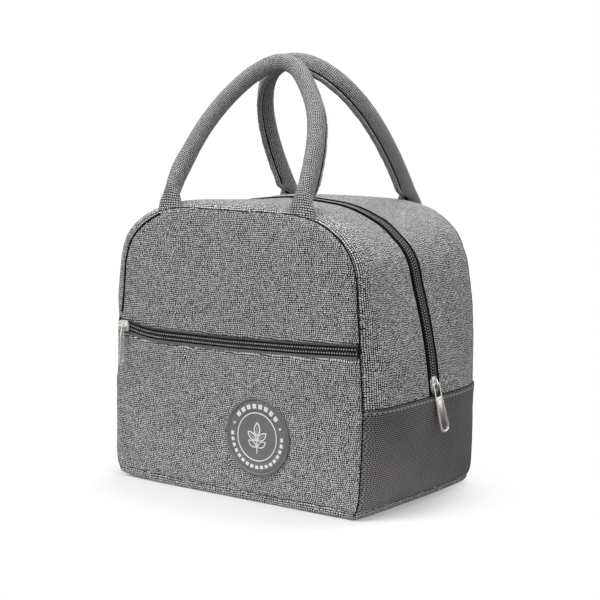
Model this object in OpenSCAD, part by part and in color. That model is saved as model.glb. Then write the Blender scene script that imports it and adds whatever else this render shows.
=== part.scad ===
// Soft insulated lunch bag: a padded fabric box with a zip that runs from one
// end, over the top, to the other end, a zipped front pocket, two rolled
// carrying handles, a stiffened floor and a round moulded badge.
// X runs along the front, Y towards the back, Z up; the origin is the middle
// of the underside, on the surface that the bag stands on.

/* [Body] */
// Widest width across the front seam, a third of the way up
body_w = 217.2; // [205:0.2:230]
// Width across the front seam at the floor
base_w = 211; // [203:0.2:217]
// Width across the front seam at two thirds of the height
shoulder_w = 207.5; // [200:0.1:214]
// Height of the top seam
body_h = 200; // [194:1:212]
// Depth from the front seam to the back seam
body_d = 148; // [136:1:160]
// Width of the rounded top corners
corner_w = 63.3; // [54:0.1:72]
// Height of the rounded top corners
corner_h = 44.7; // [38:0.1:50]
// Squareness of the top corners, 2 is an ellipse
corner_e = 2.3; // [2:0.1:3]
// How far the top and end strip swells out beyond the seams
side_bulge = 6; // [5.5:0.1:7]
// Extra belly of each end at the top of its dark patch
belly = 4.2; // [3:0.1:5]
// How far the front and back panels swell out beyond the seams
panel_bulge = 4.4; // [3:0.1:4.6]

/* [Layers] */
// Thickness of the outer fabric
fabric_t = 1; // [0.6:0.1:1]
// Thickness of the foam padding
foam_t = 4; // [3:0.1:4]
// Thickness of the wipe-clean liner
liner_t = 0.6; // [0.4:0.1:0.6]
// Thickness of the stiffening board in the floor
board_t = 2; // [1:0.1:2]

/* [Fold and patches] */
// Height at which the upper halves fold outwards
fold_z = 90; // [88:0.5:94]
// Height of the dark end patches
patch_h = 74; // [70:0.5:75]
// Height of the front pocket zip
pocket_z = 112.5; // [109:0.5:120]

/* [Zips] */
// Half width of the slot that shows the main zip between the fabric edges
slot_half = 4.2; // [4.2:0.1:6]
// Width of one zip tape
tape_w = 13; // [10:0.5:16]
// Width of one row of coil
coil_w = 2.5; // [1.5:0.1:2.5]
// Height of the coil above its tape
coil_t = 2; // [1:0.1:2]
// Length of a slider
slider_l = 12; // [11:0.5:12]
// Length of the main zip's pull
pull_l = 34; // [26:0.5:36]
// Length of the pocket zip's pull
pocket_pull_l = 28; // [20:0.5:28]
// Rest angle of the main pull away from the bag
pull_tilt = 6; // [0:1:20]
// Rest angle of the main pull towards the back
pull_swing = 9; // [0:1:10]
// Rest position of the pocket slider along the front
pocket_slider_x = -96; // [-97:0.5:-60]

/* [Handles] */
// Diameter of a rolled handle
handle_d = 12; // [9:0.5:12]
// Length of the front handle's arch, measured along its plane
front_arch = 117; // [100:0.2:120]
// Lean of the front handle towards the back
front_lean = 30; // [20:0.1:31.2]
// Half the spacing of the front handle's ends
front_span = 57.2; // [50:0.1:60]
// Sideways place of the front handle
front_x = -1; // [-6:0.1:6]
// Length of the back handle's arch, measured along its plane
back_arch = 127; // [110:0.1:129]
// Lean of the back handle towards the front
back_lean = 36.2; // [20:0.1:37]
// Half the spacing of the back handle's ends
back_span = 54.8; // [50:0.1:60]
// Sideways place of the back handle
back_x = -5.5; // [-6:0.1:6]
// Width of a handle's flat sewn end
tab_w = 20; // [18:0.5:24]

/* [Badge] */
// Diameter of the round badge
badge_d = 54; // [40:1:58]
// Height of the badge's centre
badge_z = 47.5; // [34:0.5:56]
// Sideways place of the badge's centre
badge_x = 27; // [-40:0.5:40]

/* [Hidden] */
$fn = 48;

// Colours
cloth = [0.50, 0.50, 0.50];
dark_cloth = [0.34, 0.33, 0.34];
backing_cloth = [0.30, 0.30, 0.31];
silver_liner = [0.75, 0.76, 0.78];
foam_white = [0.92, 0.92, 0.90];
board_buff = [0.82, 0.80, 0.74];
core_white = [0.9, 0.9, 0.88];
charcoal = [0.20, 0.20, 0.21];
coil_grey = [0.25, 0.25, 0.26];
nickel = [0.72, 0.72, 0.70];
badge_grey = [0.42, 0.42, 0.43];
print_white = [0.92, 0.92, 0.92];

// Outline and seams
gap = 0.1;                       // half the gap between neighbouring pieces
seam_z = 3.7;                    // top of the floor panel's turned-up edge
widest_z = 74;                   // height of the widest width
shoulder_z = 135;
half_depth = body_d / 2;
seam_y = half_depth - 2 * gap;   // edge of the top and end strip
shoulder_slope = (shoulder_w - body_w) / 2 / (shoulder_z - widest_z);
corner_z = body_h - corner_h;

// Padding: faces are Y distances from the middle, insets lie inside the seam line
foam_face = half_depth - 0.4;
foam_back = foam_face - foam_t;
foam_inset = 1.2;
foam_z = 4;                      // bottom of the wall foam
liner_face = foam_back - 0.3;
liner_inset = foam_inset + foam_t + 0.2;
liner_z = 8;                     // underside of the liner's floor

// ---- seam outline: points are [x, z] ----
function side_x(z) = z < widest_z
  ? body_w / 2 - (body_w - base_w) / 2 * pow((widest_z - z) / (widest_z - seam_z), 2)
  : body_w / 2 + shoulder_slope * (z - widest_z);
flat_top_x = side_x(corner_z) - corner_w; // where the top corner begins
// half width in the corner; rise and across are fractions of its height and width
function corner_x(rise, across) =
  flat_top_x + corner_w * across + shoulder_slope * corner_h * rise * across;
// half width of the front panel at height z, corners included
function half_width(z) = z <= corner_z ? side_x(z) :
  let (rise = min(1, (z - corner_z) / corner_h),
       across = pow(max(0, 1 - pow(rise, corner_e)), 1 / corner_e))
  corner_x(rise, across);
function corner_point(angle) =
  let (across = pow(cos(angle), 2 / corner_e), rise = pow(sin(angle), 2 / corner_e))
  [corner_x(rise, across), corner_z + corner_h * rise];

function steps(start, end, count) = [for (i = [0 : count]) start + (end - start) * i / count];
function mirrored_back(points) = [for (i = [len(points) - 1 : -1 : 0])
  [-points[i][0], points[i][1]]];
// closed outline from its right-hand half
function both_sides(half) = concat(half, mirrored_back(half));
// right-hand wall from z0 up to z1
function wall(z0, z1, count = 8) = [for (z = steps(z0, z1, count)) [side_x(z), z]];
function half_arch(z0) = concat(
  [for (i = [0 : 3]) let (z = z0 + (corner_z - z0) * i / 4) [side_x(z), z]],
  [for (angle = [0 : 6 : 84]) corner_point(angle)],
  [[flat_top_x, body_h], [flat_top_x / 2, body_h]]);
// whole arch from z0 on the right, over the top, to z0 on the left
function arch(z0) = concat(half_arch(z0), [[0, body_h]], mirrored_back(half_arch(z0)));

function outward(path, i) =
  let (along = path[min(len(path) - 1, i + 1)] - path[max(0, i - 1)])
  [along[1], -along[0]] / norm(along);
// path moved out by a distance, its two ends kept level
function moved_out(path, distance) = [for (i = [0 : len(path) - 1]) let (p = path[i])
  i == 0 || i == len(path) - 1
    ? [p[0] + sign(p[0]) * distance, p[1]]
    : p + distance * outward(path, i)];
function band(path, inner, outer) = concat(
  moved_out(path, outer),
  let (back = moved_out(path, inner)) [for (i = [len(back) - 1 : -1 : 0]) back[i]]);
// cross-section of the body between z0 and z1, both walls moved in by an inset
function body_area(inset, z0, z1, count = 8) =
  both_sides(moved_out(wall(z0, z1, count), -inset));

function swell(y) = side_bulge * (1 - pow(abs(y) / half_depth, 8));
// belly of the ends: grows from the floor to the patch's top edge, then dies away
// in a straight line
function belly_at(z) = belly * (
  z > corner_z ? 0 :
  z > patch_h ? (corner_z - z) / (corner_z - patch_h) :
  max(0, z / patch_h));
function belly_share(y) = 1 - pow(abs(y) / half_depth, 4);
function bellied(path, share = 1) =
  [for (p = path) [p[0] + sign(p[0]) * share * belly_at(p[1]), p[1]]];

// ---- building blocks ----
// an X-Z outline extruded along Y
module along_y(outline, y0, y1)
  translate([0, y1, 0]) rotate([90, 0, 0]) linear_extrude(y1 - y0) polygon(outline);
module to_back() mirror([0, 1, 0]) children();
module to_left() mirror([1, 0, 0]) children();
module left_and_right() for (m = [0, 1]) mirror([m, 0, 0]) children();

function quad(a, b, c, d) = [[a, b, c], [a, c, d]];
// closed slab between two equal point grids
module slab(inner, outer) {
  rows = len(inner);
  cols = len(inner[0]);
  far = rows * cols;             // index of the outer grid's first point
  function at(i, j) = i * cols + j;
  polyhedron(
    points = concat([for (row = inner) each row], [for (row = outer) each row]),
    faces = concat(
      [for (i = [0 : rows - 2], j = [0 : cols - 2])
        each quad(at(i, j), at(i + 1, j), at(i + 1, j + 1), at(i, j + 1))],
      [for (i = [0 : rows - 2], j = [0 : cols - 2]) each quad(
        far + at(i, j), far + at(i, j + 1), far + at(i + 1, j + 1), far + at(i + 1, j))],
      [for (i = [0 : rows - 2])
        each quad(at(i, 0), far + at(i, 0), far + at(i + 1, 0), at(i + 1, 0))],
      [for (i = [0 : rows - 2], j = cols - 1)
        each quad(at(i, j), at(i + 1, j), far + at(i + 1, j), far + at(i, j))],
      [for (j = [0 : cols - 2])
        each quad(at(0, j), at(0, j + 1), far + at(0, j + 1), far + at(0, j))],
      [for (j = [0 : cols - 2], i = rows - 1)
        each quad(at(i, j), far + at(i, j), far + at(i, j + 1), at(i, j + 1))]));
}

// swollen strip of fabric that follows a path, with a row of points at each Y
function strip_grid(path, rows_y, inset) = [for (y = rows_y)
  [for (p = bellied(moved_out(path, swell(y) - inset), belly_share(y))) [p[0], y, p[1]]]];
module strip(path, rows_y)
  slab(strip_grid(path, rows_y, fabric_t), strip_grid(path, rows_y, 0));
// from the front seam to the zip slot
module front_strip(path)
  strip(path, [for (i = [0 : 7]) -seam_y + (seam_y - slot_half) * pow(i / 7, 2)]);
// from seam to seam
module full_strip(path)
  strip(path, seam_y * [-1, -0.96, -0.88, -0.72, -0.4, 0, 0.4, 0.72, 0.88, 0.96, 1]);

// swollen front panel with a row of points at each height;
// columns are fractions of the half width
panel_columns = [-1, -0.95, -0.84, -0.62, -0.3, 0, 0.3, 0.62, 0.84, 0.95, 1];
function puff(across, z) = panel_bulge * (1 - pow(abs(across), 4))
  * (1 - pow(abs(2 * (z - seam_z) / (body_h - seam_z) - 1), 4));
function panel_grid(heights, thickness) = [for (z = heights) [for (across = panel_columns)
  [across * half_width(z), -half_depth - thickness - puff(across, z), z]]];
module panel(heights) slab(panel_grid(heights, 0), panel_grid(heights, fabric_t));
lower_rows = concat(steps(seam_z, 40, 4), steps(56, fold_z - gap, 2));
function top_rows(z0) = concat(steps(z0, corner_z, 3),
  [for (angle = [14, 28, 42, 56, 70, 90]) corner_z + corner_h * pow(sin(angle), 2 / corner_e)]);

// ---- floor ----
floor_t = 1;                     // floor panel's thickness
floor_rows = [-1, -0.97, -0.9, -0.75, -0.4, 0, 0.4, 0.75, 0.9, 0.97, 1];
// plan of the body at the seam, moved out by a distance
function floor_plan(distance) = both_sides([for (t = floor_rows)
  [side_x(seam_z) + swell(t * half_depth) + distance, t * (half_depth + fabric_t + distance)]]);
module bottom_panel() color(cloth) difference() {
  linear_extrude(seam_z - gap) polygon(floor_plan(0));
  translate([0, 0, floor_t]) linear_extrude(seam_z) polygon(floor_plan(-floor_t));
}
// plate smaller than the floor by trim_x and trim_y
module floor_plate(trim_x, trim_y, radius, thickness) {
  corner = [side_x(seam_z) - trim_x / 2 - radius, (body_d - trim_y) / 2 - radius];
  linear_extrude(thickness) polygon([
    for (c = [[1, 1, 0], [-1, 1, 90], [-1, -1, 180], [1, -1, 270]], a = [0 : 15 : 90])
      [c[0] * corner[0] + radius * cos(c[2] + a), c[1] * corner[1] + radius * sin(c[2] + a)]]);
}
module bottom_board() color(board_buff) translate([0, 0, 1.2])
  floor_plate(trim_x = 8, trim_y = 8, radius = 12, thickness = board_t);
module bottom_foam() color(foam_white) translate([0, 0, 3.9])
  floor_plate(trim_x = 14, trim_y = 12, radius = 10, thickness = 3.8);

// ---- lower walls ----
module lower_liner() color(silver_liner) difference() {
  along_y(body_area(liner_inset, liner_z, fold_z - gap), -liner_face, liner_face);
  along_y(body_area(liner_inset + liner_t, liner_z + liner_t, fold_z + 5),
    -(liner_face - liner_t), liner_face - liner_t);
}
module front_foam_lower() color(foam_white)
  along_y(body_area(foam_inset, foam_z, fold_z - gap), -foam_face, -foam_back);
module back_foam_lower() to_back() front_foam_lower();
module end_foam_right() color(foam_white)
  along_y(band(wall(foam_z, fold_z - gap), -foam_inset - foam_t, -foam_inset),
    -(foam_back - 0.2), foam_back - 0.2);
module end_foam_left() to_left() end_foam_right();
module end_patch_right() color(dark_cloth) full_strip(wall(seam_z, patch_h - gap));
module end_patch_left() to_left() end_patch_right();
module front_gusset_lower() color(cloth)
  left_and_right() front_strip(wall(patch_h + gap, fold_z - gap, 2));
module back_gusset_lower() to_back() front_gusset_lower();
module pocket_panel_lower() color(cloth) panel(lower_rows);
module back_panel_lower() color(cloth) to_back() panel(lower_rows);

// ---- main zip: side is -1 for the front row, 1 for the back row ----
tape_t = 0.6;
tape_out = side_bulge - 2.1;     // tape's distance outside the seam line
coil_out = side_bulge - 1.4;     // coil's distance outside the seam line
tape_start = 1;                  // tape's near edge from the zip's centre line
coil_start = 0.9;                // coil's near edge from the zip's centre line
stop_half = 3.4;                 // half width of the stops at a zip's ends
function zip_line(path, inner, outer) = bellied(band(path, inner, outer));
module zip_row(path, side, start, width, inner, outer) {
  near = side * start;
  far = side * (start + width);
  along_y(zip_line(path, inner, outer), min(near, far), max(near, far));
}
module tape(path, side) zip_row(path, side, tape_start, tape_w, tape_out, tape_out + tape_t);
module coil(path, side, inner = coil_out)
  zip_row(path, side, coil_start, coil_w, inner, coil_out + coil_t);
module main_zip_end_right() color(charcoal) {
  path = wall(patch_h + 1, fold_z - gap, 3);
  for (side = [-1, 1]) union() {
    tape(path, side);
    coil(path, side, inner = tape_out + 0.3);
  }
  // stop across both rows
  along_y(zip_line(wall(patch_h + 0.6, patch_h + 2, 1), tape_out + 0.1, coil_out + coil_t),
    -stop_half, stop_half);
}
module main_zip_end_left() to_left() main_zip_end_right();
module main_zip_tape_front() color(charcoal) tape(arch(fold_z + gap), -1);
module main_zip_tape_back() color(charcoal) tape(arch(fold_z + gap), 1);
module main_zip_coil_front() color(coil_grey) coil(arch(fold_z + gap), -1);
module main_zip_coil_back() color(coil_grey) coil(arch(fold_z + gap), 1);

// ---- upper halves ----
pocket_slot_half = 5.5;          // half height of the slot around the pocket zip
module front_panel() color(cloth) panel(top_rows(pocket_z + pocket_slot_half));
module pocket_panel_upper() color(cloth)
  panel(steps(fold_z + gap, pocket_z - pocket_slot_half, 2));
module pocket_backing() color(backing_cloth)
  along_y(body_area(1.6, fold_z + gap, pocket_z + 12, 3),
    -(half_depth - 0.05), -(half_depth - 0.35));
module back_panel() color(cloth) to_back() panel(top_rows(fold_z + gap));
module front_gusset() color(cloth) front_strip(arch(fold_z + gap));
module back_gusset() to_back() front_gusset();
// front half of a layer under the arch, open at the fold and towards the back;
// rim is its open edge's distance from the middle
module upper_shell(face, inset, thickness, rim) difference() {
  along_y(moved_out(arch(fold_z + gap), -inset), -face, -rim);
  along_y(moved_out(arch(fold_z - 4), -inset - thickness), -(face - thickness), 1);
}
module front_foam() color(foam_white) upper_shell(foam_face, foam_inset, foam_t, rim = 9);
module back_foam() to_back() front_foam();
module front_liner() color(silver_liner) upper_shell(liner_face, liner_inset, liner_t, rim = 6);
module back_liner() to_back() front_liner();

// ---- pocket zip: side is 1 for the upper row, -1 for the lower row ----
pocket_tape_y = -(half_depth + 2); // front face of the tape
pocket_coil_y = pocket_tape_y - 0.1 - coil_t;
pocket_zip_half = side_x(pocket_z) - 2.5;
module pocket_row(side, half_length, y, thickness, start, width)
  translate([-half_length, y, pocket_z + (side > 0 ? start : -start - width)])
    cube([2 * half_length, thickness, width]);
module pocket_tape(side)
  pocket_row(side, pocket_zip_half, pocket_tape_y, tape_t, start = tape_start, width = 4.2);
module pocket_coil(side)
  pocket_row(side, pocket_zip_half - 3, pocket_coil_y, coil_t, start = coil_start, width = coil_w);
module pocket_zip_tape_upper() color(charcoal) pocket_tape(1);
module pocket_zip_tape_lower() color(charcoal) pocket_tape(-1);
module pocket_zip_coil_upper() color(coil_grey) pocket_coil(1);
module pocket_zip_coil_lower() color(coil_grey) pocket_coil(-1);
module pocket_zip_stops() color(charcoal) left_and_right()
  translate([pocket_zip_half - 1, pocket_coil_y, pocket_z - stop_half])
    cube([1, coil_t, 2 * stop_half]);

// ---- sliders and pulls: local X points out of the zip, local Z along it, nose at -Z ----
// distances out from the seam line of the zip that the slider runs on
outer_plate = side_bulge + 0.8;  // underside of the outer plate
inner_plate = tape_out - 0.2;    // top of the inner plate
bail_out = outer_plate + 3.2;
pin_out = outer_plate + 1.9;     // pull's cross pin, under the bail
plate_t = 1.2;                   // thickness of slider plates and pulls
wire_r = 0.6;                    // radius of the bail and of the pull's pin
bail_half = 4;
slider_z = patch_h + 9;          // main slider's centre at rest
// lean of the zip on the ends, negative is inwards
zip_lean = atan(shoulder_slope - belly / (corner_z - patch_h));

module slider_body() {
  half = slider_l / 2;
  plate = both_sides([
    [2.2, half], [3, half - 1.2], [3.4, 0], [4, -half + 3], [3.4, -half + 1], [1.6, -half]]);
  for (x = [outer_plate, inner_plate - plate_t])
    translate([x, 0, 0]) rotate([90, 0, 90]) linear_extrude(plate_t) polygon(plate);
  // lips that hold the coil
  for (y = [-3.95, 3.55]) translate([outer_plate - 1.2, y, -half + 2.6]) cube([1.4, 0.4, 1.6]);
  // neck between the plates, at the nose
  translate([inner_plate - 0.2, -0.6, -half + 0.3])
    cube([outer_plate - inner_plate + 0.4, 1.2, 2.6]);
  // bail that the pull hangs on, and its two posts
  translate([bail_out, 0, -bail_half]) cylinder(r = wire_r, h = 2 * bail_half);
  for (z = [-bail_half, bail_half - 0.8])
    translate([outer_plate + 1, -wire_r, z]) cube([2.2, 2 * wire_r, 0.8]);
}
// hole near the free end of a pull
module pull_hole(length, depth, y = 0)
  translate([0, y, -length + 4.2]) rotate([0, 90, 0]) cylinder(r = 1.2, h = depth, center = true);
// hangs along -Z from its pin at the origin, flat face towards X
module pull_plate() difference() {
  union() {
    rotate([90, 0, 0]) translate([0, 0, -2.5]) cylinder(r = wire_r, h = 5);
    rotate([90, 0, 90]) translate([0, 0, -plate_t / 2]) linear_extrude(plate_t)
      polygon(both_sides([
        [2.5, 0], [2.6, -8], [3.5, -pull_l + 4], [3.2, -pull_l + 1.4], [1.8, -pull_l]]));
  }
  translate([-2, -1.4, -7.4]) cube([4, 2.8, 6.8]);
  pull_hole(pull_l, depth = 4);
}
module at_main()
  translate([side_x(slider_z) + belly_at(slider_z), 0, slider_z])
    rotate([0, zip_lean, 0]) children();
module main_slider() color(nickel) at_main() slider_body();
module main_pull() color(nickel) at_main() translate([pin_out, 0, 0])
  rotate([pull_swing, 0, 0]) rotate([0, -pull_tilt, 0]) pull_plate();

// the pocket zip's seam line lies behind its tape by the same distance as the main one's
pocket_seam_y = pocket_tape_y + tape_t + tape_out;
module pocket_slider() color(nickel)
  translate([pocket_slider_x, pocket_seam_y, pocket_z])
    rotate([-90, 0, 0]) rotate([0, 90, 0]) slider_body();
// pull hanging edge-on from an eye around the bail; outline points are [y, z]
module pocket_pull() color(nickel)
  translate([pocket_slider_x, pocket_seam_y - bail_out, pocket_z]) difference() {
    end = -pocket_pull_l;
    union() {
      translate([-plate_t / 2, 0, 0]) rotate([0, 90, 0]) cylinder(r = 1.9, h = plate_t);
      translate([-plate_t / 2, 0, 0]) rotate([90, 0, 90]) linear_extrude(plate_t) polygon([
        [1.2, -1.2], [1.6, -6], [1.9, end + 4], [1.6, end + 1.2], [0.4, end],
        [-3.2, end], [-4.6, end + 1.2], [-5, end + 4], [-3.4, -6], [-1.5, -1]]);
    }
    rotate([0, 90, 0]) cylinder(r = 0.8, h = 6, center = true);
    pull_hole(pocket_pull_l, depth = 6, y = -1.5);
  }

// ---- handles: drawn upright in X-Z, then leaned about their hinge lines ----
handle_y = half_depth + 2;
handle_z = body_h + 1.5;
cover_start = 13.6;              // height above the hinge where the cover begins
core_start = 14;
core_r = handle_d / 2 - fabric_t - 0.2;
path_steps = 34;
ring_sides = 12;

// centre line above the tabs; the exponents set the squareness in X and in Z
function handle_path(span, height, x_e, z_e, start) =
  let (first = asin(pow(start / height, z_e / 2)))
  [for (a = steps(first, 180 - first, path_steps))
    [span * sign(cos(a)) * pow(abs(cos(a)), 2 / x_e), height * pow(sin(a), 2 / z_e)]];
function front_path(start) = handle_path(front_span, front_arch, 1.98, 2.07, start);
function back_path(start) = handle_path(back_span, back_arch, 2.11, 2.51, start);

function ring_points(path, radius) = [for (i = [0 : len(path) - 1], j = [0 : ring_sides - 1])
  let (a = 360 * j / ring_sides, side = outward(path, i), reach = radius * cos(a))
  [path[i][0] + reach * side[0], radius * sin(a), path[i][1] + reach * side[1]]];
function ring_at(i, j) = i * ring_sides + j % ring_sides;
function outer_faces(rings) = [for (i = [0 : rings - 2], j = [0 : ring_sides - 1])
  each quad(ring_at(i, j), ring_at(i, j + 1), ring_at(i + 1, j + 1), ring_at(i + 1, j))];
module rope(path, radius) {
  last = len(path) - 1;
  polyhedron(points = ring_points(path, radius), faces = concat(
    outer_faces(len(path)),
    [[for (j = [ring_sides - 1 : -1 : 0]) j]],
    [[for (j = [0 : ring_sides - 1]) ring_at(last, j)]]));
}
module tube(path, radius, thickness) {
  rings = len(path);
  last = 2 * rings - 1;          // last inner ring
  sides = [0 : ring_sides - 1];
  polyhedron(
    points = concat(ring_points(path, radius), ring_points(path, radius - thickness)),
    faces = concat(
      outer_faces(rings),
      [for (i = [rings : last - 1], j = sides) each quad(
        ring_at(i, j), ring_at(i + 1, j), ring_at(i + 1, j + 1), ring_at(i, j + 1))],
      [for (j = sides) each quad(
        ring_at(0, j), ring_at(rings, j), ring_at(rings, j + 1), ring_at(0, j + 1))],
      [for (j = sides) each quad(
        ring_at(rings - 1, j), ring_at(rings - 1, j + 1), ring_at(last, j + 1),
        ring_at(last, j))]));
}
// flat sewn ends that blend into the round handle
module tabs(span) left_and_right() hull() {
  translate([span - tab_w / 2, -1.2, 2.6]) cube([tab_w, 2.4, 1]);
  translate([span, 0, 13]) cylinder(r = handle_d / 2 - 0.2, h = 0.2, $fn = 24);
}
module at_front_handle()
  translate([front_x, -handle_y, handle_z]) rotate([-front_lean, 0, 0]) children();
module at_back_handle()
  translate([back_x, handle_y, handle_z]) rotate([back_lean, 0, 0]) children();
module front_handle_cover() color(cloth)
  at_front_handle() tube(front_path(cover_start), handle_d / 2, fabric_t);
module front_handle_core() color(core_white) at_front_handle() rope(front_path(core_start), core_r);
module front_handle_tabs() color(cloth) at_front_handle() tabs(front_span);
module back_handle_cover() color(cloth)
  at_back_handle() tube(back_path(cover_start), handle_d / 2, fabric_t);
module back_handle_core() color(core_white) at_back_handle() rope(back_path(core_start), core_r);
module back_handle_tabs() color(cloth) at_back_handle() tabs(back_span);

// ---- badge: local Z points out of the front ----
badge_y = -half_depth - fabric_t - panel_bulge - 0.2;
badge_r = badge_d / 2;
rim_h = 2.2;
face_h = 1.5;
print_z = 1.6;                   // underside of the ring and emblem
print_t = 0.4;
module at_badge() translate([badge_x, badge_y, badge_z]) rotate([90, 0, 0]) children();
module badge() color(badge_grey) at_badge() rotate_extrude($fn = 96) polygon([
  [0, 0], [badge_r, 0], [badge_r, 1.6], [badge_r - 0.6, rim_h],
  [badge_r - 1.6, rim_h], [badge_r - 2.2, face_h], [0, face_h]]);
module badge_ring() color(print_white) at_badge() translate([0, 0, print_z]) {
  inner = badge_d * 0.30;
  outer = badge_d * 0.325;
  rotate_extrude($fn = 96) polygon([[inner, 0], [outer, 0], [outer, print_t], [inner, print_t]]);
}
// pointed leaf growing along Y from the origin, between two arcs
module leaf(length, width) {
  radius = (length * length / 4 + width * width / 4) / width;
  intersection() {
    translate([width / 2 - radius, length / 2]) circle(r = radius);
    translate([-width / 2 + radius, length / 2]) circle(r = radius);
  }
}
// plain sprig of five leaves in the middle
module badge_emblem() color(print_white) at_badge()
  translate([0, 0, print_z]) linear_extrude(print_t) translate([0, -10]) {
    translate([-0.5, 0]) square([1, 10]);
    translate([0, 9.6]) leaf(10, 5);
    left_and_right() {
      translate([0.2, 7]) rotate(-52) leaf(9.5, 4.6);
      translate([0.2, 2.6]) rotate(-58) leaf(8, 4);
    }
  }

bottom_panel();
bottom_board();
bottom_foam();
lower_liner();
end_patch_right();
end_patch_left();
front_gusset_lower();
back_gusset_lower();
pocket_panel_lower();
back_panel_lower();
front_foam_lower();
back_foam_lower();
end_foam_right();
end_foam_left();
main_zip_end_right();
main_zip_end_left();
badge();
badge_ring();
badge_emblem();
front_panel();
pocket_panel_upper();
pocket_backing();
front_gusset();
front_foam();
front_liner();
main_zip_tape_front();
main_zip_coil_front();
pocket_zip_tape_upper();
pocket_zip_tape_lower();
pocket_zip_coil_upper();
pocket_zip_coil_lower();
pocket_zip_stops();
back_panel();
back_gusset();
back_foam();
back_liner();
main_zip_tape_back();
main_zip_coil_back();
front_handle_cover();
front_handle_core();
front_handle_tabs();
back_handle_cover();
back_handle_core();
back_handle_tabs();
main_slider();
main_pull();
pocket_slider();
pocket_pull();
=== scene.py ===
# A soft bag with an arched outline and a silver liner. A zip runs over its top, a second
# zip closes the front pocket, a round badge sits on the pocket, and two loop handles rise
# from the top edges.
# The front faces -y, the right-hand end (seen from the front) is at +x, and the bag stands
# on z = 0. Shapes are worked out in millimetres and written to the meshes in metres.
import bmesh
import bpy
import math
import numpy as np
from mathutils import Matrix, Vector


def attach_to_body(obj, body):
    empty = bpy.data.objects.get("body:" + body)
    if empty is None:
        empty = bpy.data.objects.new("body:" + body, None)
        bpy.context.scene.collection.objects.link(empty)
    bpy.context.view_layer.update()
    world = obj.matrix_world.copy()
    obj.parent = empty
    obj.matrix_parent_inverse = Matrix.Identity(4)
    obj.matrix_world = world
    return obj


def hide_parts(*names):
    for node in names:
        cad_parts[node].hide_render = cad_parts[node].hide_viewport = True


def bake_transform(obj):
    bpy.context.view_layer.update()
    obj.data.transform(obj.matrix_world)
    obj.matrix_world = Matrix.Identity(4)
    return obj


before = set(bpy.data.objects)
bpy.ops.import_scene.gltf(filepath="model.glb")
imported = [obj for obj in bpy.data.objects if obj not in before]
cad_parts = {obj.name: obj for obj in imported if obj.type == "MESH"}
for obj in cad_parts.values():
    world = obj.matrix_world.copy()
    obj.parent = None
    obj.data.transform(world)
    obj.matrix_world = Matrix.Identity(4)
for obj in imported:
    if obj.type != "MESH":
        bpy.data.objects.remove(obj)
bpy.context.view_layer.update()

# ------------------------------------------------------------------ sizes
MM = 0.001
HEIGHT = 200.0
HALF_DEPTH = 148.0 / 2
BASE_WIDTH, BASE_Z = 211.0, 3.7
WAIST_WIDTH, WAIST_Z = 217.2, 74.0               # the widest level
SHOULDER_WIDTH, SHOULDER_Z = 207.5, 135.0
CORNER_WIDTH, CORNER_HEIGHT, CORNER_POWER = 63.3, 44.7, 2.3    # superelliptic top corners
CORNER_Z = HEIGHT - CORNER_HEIGHT
WALL_LEAN = (SHOULDER_WIDTH - WAIST_WIDTH) / 2 / (SHOULDER_Z - WAIST_Z)
PATCH_Z = 74.0                                   # top of the dark end patches
POCKET_Z = 112.5                                 # height of the pocket slider
FLOOR_SEAM_Z = 6.2                               # seam round the floor
BELLY = 4.2                                      # bulge of the two ends
PANEL_OUT = HALF_DEPTH + 0.9                     # |y| of a panel without its bulge
TOOTH_PITCH = 2.0                                # both zips

# distances from a seam at which meshes are cut, and rises above the floor seam
EDGE_STEPS = np.array([0, 0.5, 1.0, 1.7, 2.6, 4.0, 6.0, 8.5, 11.5])
WIDE_STEPS = np.append(EDGE_STEPS, 15)
FLOOR_ROWS = FLOOR_SEAM_Z + np.array([0, 0.5, 1.1, 1.9, 3.0, 5.0, 8.0])

# blend arguments passed to attach for pieces either side of the opening; attach does not use
# them
FOLD_LOW, FOLD_HIGH, FOLD_Y = 0.080, 0.104, 0.0805
FRONT_FOLD = ("base", "front_half", (0, -FOLD_Y, FOLD_LOW), (0, -FOLD_Y, FOLD_HIGH))
BACK_FOLD = ("base", "back_half", (0, FOLD_Y, FOLD_LOW), (0, FOLD_Y, FOLD_HIGH))


# ------------------------------------------------------------------ small maths
def fade(distance, length):
    """1 at distance 0, dying away over the length"""
    return np.exp(-distance / length)


def rise(distance, length):
    return 1 - fade(distance, length)


def smoothstep(t):
    t = np.clip(t, 0, 1)
    return t * t * (3 - 2 * t)


def unit(vectors):
    return vectors / np.linalg.norm(vectors, axis=-1, keepdims=True)


def path_length(points, axis=0):
    """running length along rows of points, starting at 0"""
    steps = np.linalg.norm(np.diff(points, axis=axis), axis=-1)
    return np.insert(np.cumsum(steps, axis=axis), 0, 0, axis=axis)


def interp_columns(at, stations, table):
    return np.stack([np.interp(at, stations, column) for column in table.T], -1)


def even_stations(length, step):
    return np.linspace(0, length, max(2, int(round(length / step)) + 1))


def pair_grid(rows, columns):
    """UVs of a grid from one coordinate per column and one per row"""
    return np.stack(np.broadcast_arrays(columns[None], rows[:, None]), -1)


# ------------------------------------------------------------------ seam outline
def wall_x(z):
    """half width at height z if the walls ran straight past the top corners"""
    z = np.asarray(z, float)
    drop = (WAIST_Z - z) / (WAIST_Z - BASE_Z)
    below = WAIST_WIDTH / 2 - (WAIST_WIDTH - BASE_WIDTH) / 2 * drop ** 2
    above = WAIST_WIDTH / 2 + WALL_LEAN * (z - WAIST_Z)
    return np.where(z < WAIST_Z, below, above) - 2.4 * np.clip((13 - z) / 9, 0, 1.05) ** 2.2


CORNER_X = float(wall_x(CORNER_Z)) - CORNER_WIDTH


def corner_x(cosine, sine):
    return CORNER_X + CORNER_WIDTH * cosine + WALL_LEAN * CORNER_HEIGHT * sine * cosine


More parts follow.
